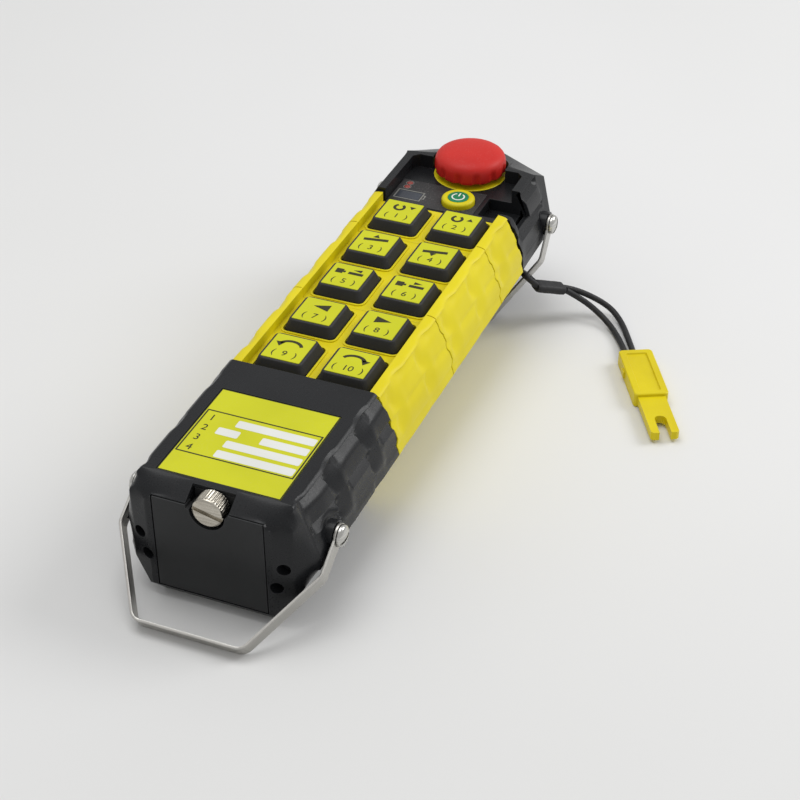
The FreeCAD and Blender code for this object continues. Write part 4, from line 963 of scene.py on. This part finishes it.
stop_head = bmesh.new()
lathe(stop_head, [
    (0, 47.25), (STEM_BORE, 47.25), (STEM_BORE, RIM_LOW), (14.1, RIM_LOW), (14.6, 44.9), (14.85, 45.3),
    (14.9, 46.4), (14.9, 47.6), (14.85, 48.8), (14.7, 49.8), (14.35, 50.8), (13.75, 51.6), (12.9, 52.25),
    (11.6, 52.85), (9.8, 53.35), (7.2, 53.75), (4.0, 54.0), (0, 54.1),
], 12 * FLUTES, stop_place, flutes)
add_piece("stop_head_mushroom", stop_head, "stop_head", STOP_RED, 35, ("stop_head",))
stop_ring = bmesh.new()
lathe(stop_ring, [
    (STEM_BORE, NECK_LOW), (8.0, NECK_LOW), (8.0, WELL_FLOOR), (15.0, WELL_FLOOR), (15.2, 42.35),
    (15.2, 42.5), (15.0, 42.67), (14.7, RING_TOP), (STEM_BORE, RING_TOP), (STEM_BORE, NECK_LOW),
], 128, stop_place)
add_piece("stop_ring_collar", stop_ring, "housing", BUTTON_YELLOW, 35, ("stop_ring",))
dress(INNER_BLACK, "stop_stem", "stop_nut", "stop_contacts")


# Far bail: the same stainless strip as the near one, folded under the body, which it props up.
# The tether of the safety key is looped round its right leg.
bail_strip("far_bail", 51.0)


# Tether: a black plastic-covered cord looped round the bail's leg and gathered in a shrink sleeve, with both
# strands moulded into the safety key. The route's points are those of the CAD tubes.
TABLE_SLOPE, TABLE_START = math.radians(2.642), -126.05


def table_height(y):
    return -math.tan(TABLE_SLOPE) * (y - TABLE_START)


LOOP = [(38.6, 89.9, 8.9), (36.3, 87.9, 12.1), (32.1, 89.3, 14.0), (29.3, 97.4, 9.4), (34.8, 97.4, 5.6),
        (38.6, 92.1, 7.1)]
STRAND_A = [(46.6, 102.2, 2.9), (55.0, 106.5, -0.9), (64.7, 109.7, -6.9), (71.9, 103.9, -9.2),
            (79.4, 90.6, -8.6), (85.3, 77.7, -6.4)]
STRAND_B = [(48.4, 99.8, 2.9), (55.0, 103.3, -2.2), (63.6, 102.0, -7.0), (70.7, 96.3, -8.8),
            (77.6, 86.2, -8.4), (82.5, 76.2, -6.3)]
CORD_DIAMETER = 2.5
CORD_BLACK = moulded_plastic("cord_black", (44, 44, 46), (36, 36, 38), (62, 62, 64),
                             (0.45, 0.6), grain=1300.0, relief=0.2, wear=0.3, dust=0.4)


def lay_cord(name, route, stands_for):
    """A round cord along its route, as one open curve."""
    curve = bpy.data.curves.new(name, "CURVE")
    curve.dimensions = "3D"
    curve.bevel_depth = CORD_DIAMETER / 2 * MM
    curve.bevel_resolution = 6
    curve.use_fill_caps = True
    spline = curve.splines.new("NURBS")
    spline.points.add(len(route) - 1)
    for point, place in zip(spline.points, route):
        point.co = (*(Vector(place) * MM), 1.0)
    spline.order_u = 3
    spline.use_endpoint_u = True
    spline.resolution_u = 16
    curve.materials.append(CORD_BLACK)
    piece = put(name, curve)
    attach(piece, "far_bail")
    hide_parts(*stands_for)
    return piece


loop_mouth = (Vector(LOOP[0]) + Vector(LOOP[-1])) / 2
strand_mouth = (Vector(STRAND_A[0]) + Vector(STRAND_B[0])) / 2
axis = (strand_mouth - loop_mouth).normalized()
aside = Vector(STRAND_B[0]) - Vector(STRAND_A[0])
aside = (aside - axis * aside.dot(axis)).normalized()
sleeve_start, sleeve_end = -1.2, (strand_mouth - loop_mouth).length - CORD_DIAMETER / 2
sleeve_place = Matrix.Translation(loop_mouth) @ Matrix((aside, axis.cross(aside), axis)).transposed().to_4x4()
sleeve = bmesh.new()
rings = []
for i in range(25):
    share = i / 24
    crease = 0.09 * math.sin(share * 23.0) * math.sin(share * 7.0 + 1.0)
    pinch = 0.35 * (1 - smooth_step(0.0, 0.06, share) * smooth_step(0.0, 0.06, 1 - share))
    skin = 1.98 - abs(crease) - pinch
    outline = rounded_square(skin, skin - 0.01, 8, 0, 0, 1.5)
    rings.append((outline, sleeve_start + (sleeve_end - sleeve_start) * share))
stack(sleeve, rings, sleeve_place)
tether_sleeve = add_piece("tether_sleeve_shrunk", sleeve, "far_bail", CORD_BLACK, 50,
                          ("tether_sleeve",))


# Safety key: a flat yellow moulded handle with a sunk panel, a small tab on its edge and a forked blade.
# Its end goes into the notch of the far cap; here it lies on the table.
SAFETY_YELLOW = moulded_plastic("safety_yellow", (221, 203, 8), (211, 191, 6), (230, 214, 70),
                                (0.36, 0.48), grain=1600.0, relief=0.15, wear=0.35, dust=0.25)
KEY_END, KEY_TURN = (85.5, 77.2), math.radians(-61.6)
on_table = Matrix.Translation((*KEY_END, table_height(KEY_END[1]))) @ Matrix.Rotation(-TABLE_SLOPE, 4, "X")
safety_place = on_table @ Matrix.Rotation(KEY_TURN, 4, "Z")
FORK_WIDE, FORK_END, SLOT_START, SLOT_HALF = 5.5, 58.0, 46.5, 2.3
safety_key = bmesh.new()
stack(safety_key, [(rounded_square(6.9 - inset, 1.6 - inset / 3, 5, 16.5, 0, 9.6), z) for inset, z in (
    (0.3, 0.0), (0.0, 0.3), (0.0, 5.7), (0.3, 6.0), (2.6, 6.0), (2.95, 5.4))], safety_place)
fork = [(30.4, -FORK_WIDE), (FORK_END - 1.0, -FORK_WIDE), (FORK_END, 1.0 - FORK_WIDE), (FORK_END, -SLOT_HALF)]
fork += [(SLOT_START + x, y) for x, y in bow(SLOT_HALF, 0, SLOT_HALF, -90, -270, 1.0, 10)]
fork += [(x, -y) for x, y in fork[3::-1]]
stack(safety_key, [(fork, 1.3), (fork, 4.7)], safety_place)
tab = oblong(3.6, 1.6, 12.7, -6.7)
stack(safety_key, [(tab, 1.6), (tab, 4.4)], safety_place)
soften(safety_key, 0.25, lambda m, edge: edge.calc_length() > 1.5 * MM and
       edge.calc_face_angle(0.0) > math.radians(60))
safety_piece = add_piece("safety_key_moulding", safety_key, "far_bail", SAFETY_YELLOW, 30,
                         ("safety_key",))

tether_long = lay_cord("tether_cord_long", LOOP + STRAND_A, ("tether_loop", "tether_strand_a"))
tether_short = lay_cord("tether_cord_short", STRAND_B, ("tether_strand_b",))


# Table, light and camera: a pale sheet that slopes a little under the transmitter, because the far bail
# props it; a wide soft light overhead, a fill from the right and the camera where the photographer stood.
floor_mesh = bpy.data.meshes.new("table")
corners = [(x, y, table_height(y) - 0.1) for x, y in oblong(8000, 8000)]
floor_mesh.from_pydata([Vector(c) * MM for c in corners], [], [(0, 1, 2, 3)])
floor = put("table", floor_mesh)
paper, tree, shader = new_material("table_paper")
sheen = use_group(tree, MOULDED_GRAIN, Grain=90.0, Drift=2.0)
wire(tree, (blend(tree, sheen.outputs["Tone"], colour(225, 225, 225), colour(220, 220, 219)),
            shader.inputs["Base Color"]))
shader.inputs["Roughness"].default_value = 0.7
floor_mesh.materials.append(paper)

world = bpy.data.worlds.new("studio")
world.use_nodes = True
sky = world.node_tree
lighting = sky.nodes["Background"]
lighting.inputs["Color"].default_value = (1, 1, 1, 1)
lighting.inputs["Strength"].default_value = 0.56
backdrop = sky.nodes.new("ShaderNodeBackground")
backdrop.inputs["Color"].default_value = colour(232, 232, 232)
seen = sky.nodes.new("ShaderNodeMixShader")
wire(sky, (sky.nodes.new("ShaderNodeLightPath").outputs["Is Camera Ray"], seen.inputs["Fac"]),
     (lighting.outputs[0], seen.inputs[1]), (backdrop.outputs[0], seen.inputs[2]),
     (seen.outputs[0], sky.nodes["World Output"].inputs["Surface"]))
bpy.context.scene.world = world


def soft_light(name, place, aim, size, power):
    lamp = bpy.data.lights.new(name, "AREA")
    lamp.shape = "DISK"
    lamp.size = size
    lamp.energy = power
    lamp_object = put(name, lamp)
    lamp_object.location = place
    lamp_object.rotation_euler = (Vector(aim) - Vector(place)).to_track_quat("-Z", "Y").to_euler()


soft_light("overhead", (-0.25, 0.1, 1.3), (0, 0, 0), 1.0, 6.5)
soft_light("fill_right", (1.05, 0.9, 1.0), (0, 0, 0), 0.9, 11.0)

camera = bpy.data.cameras.new("camera")
camera.sensor_width = 36.0
camera.lens = 85.5
camera.clip_end = 100
camera_object = put("camera", camera)
right = Vector((0.92405, 0.38221, -0.00712))
up = Vector((-0.21935, 0.54539, 0.80897))
camera_object.matrix_world = Matrix.Translation(Vector((243.9, -547.46, 435.39)) * MM) @ Matrix(
    (right, up, right.cross(up))).transposed().to_4x4()
bpy.context.scene.camera = camera_object
bpy.context.scene.view_settings.view_transform = "Standard"
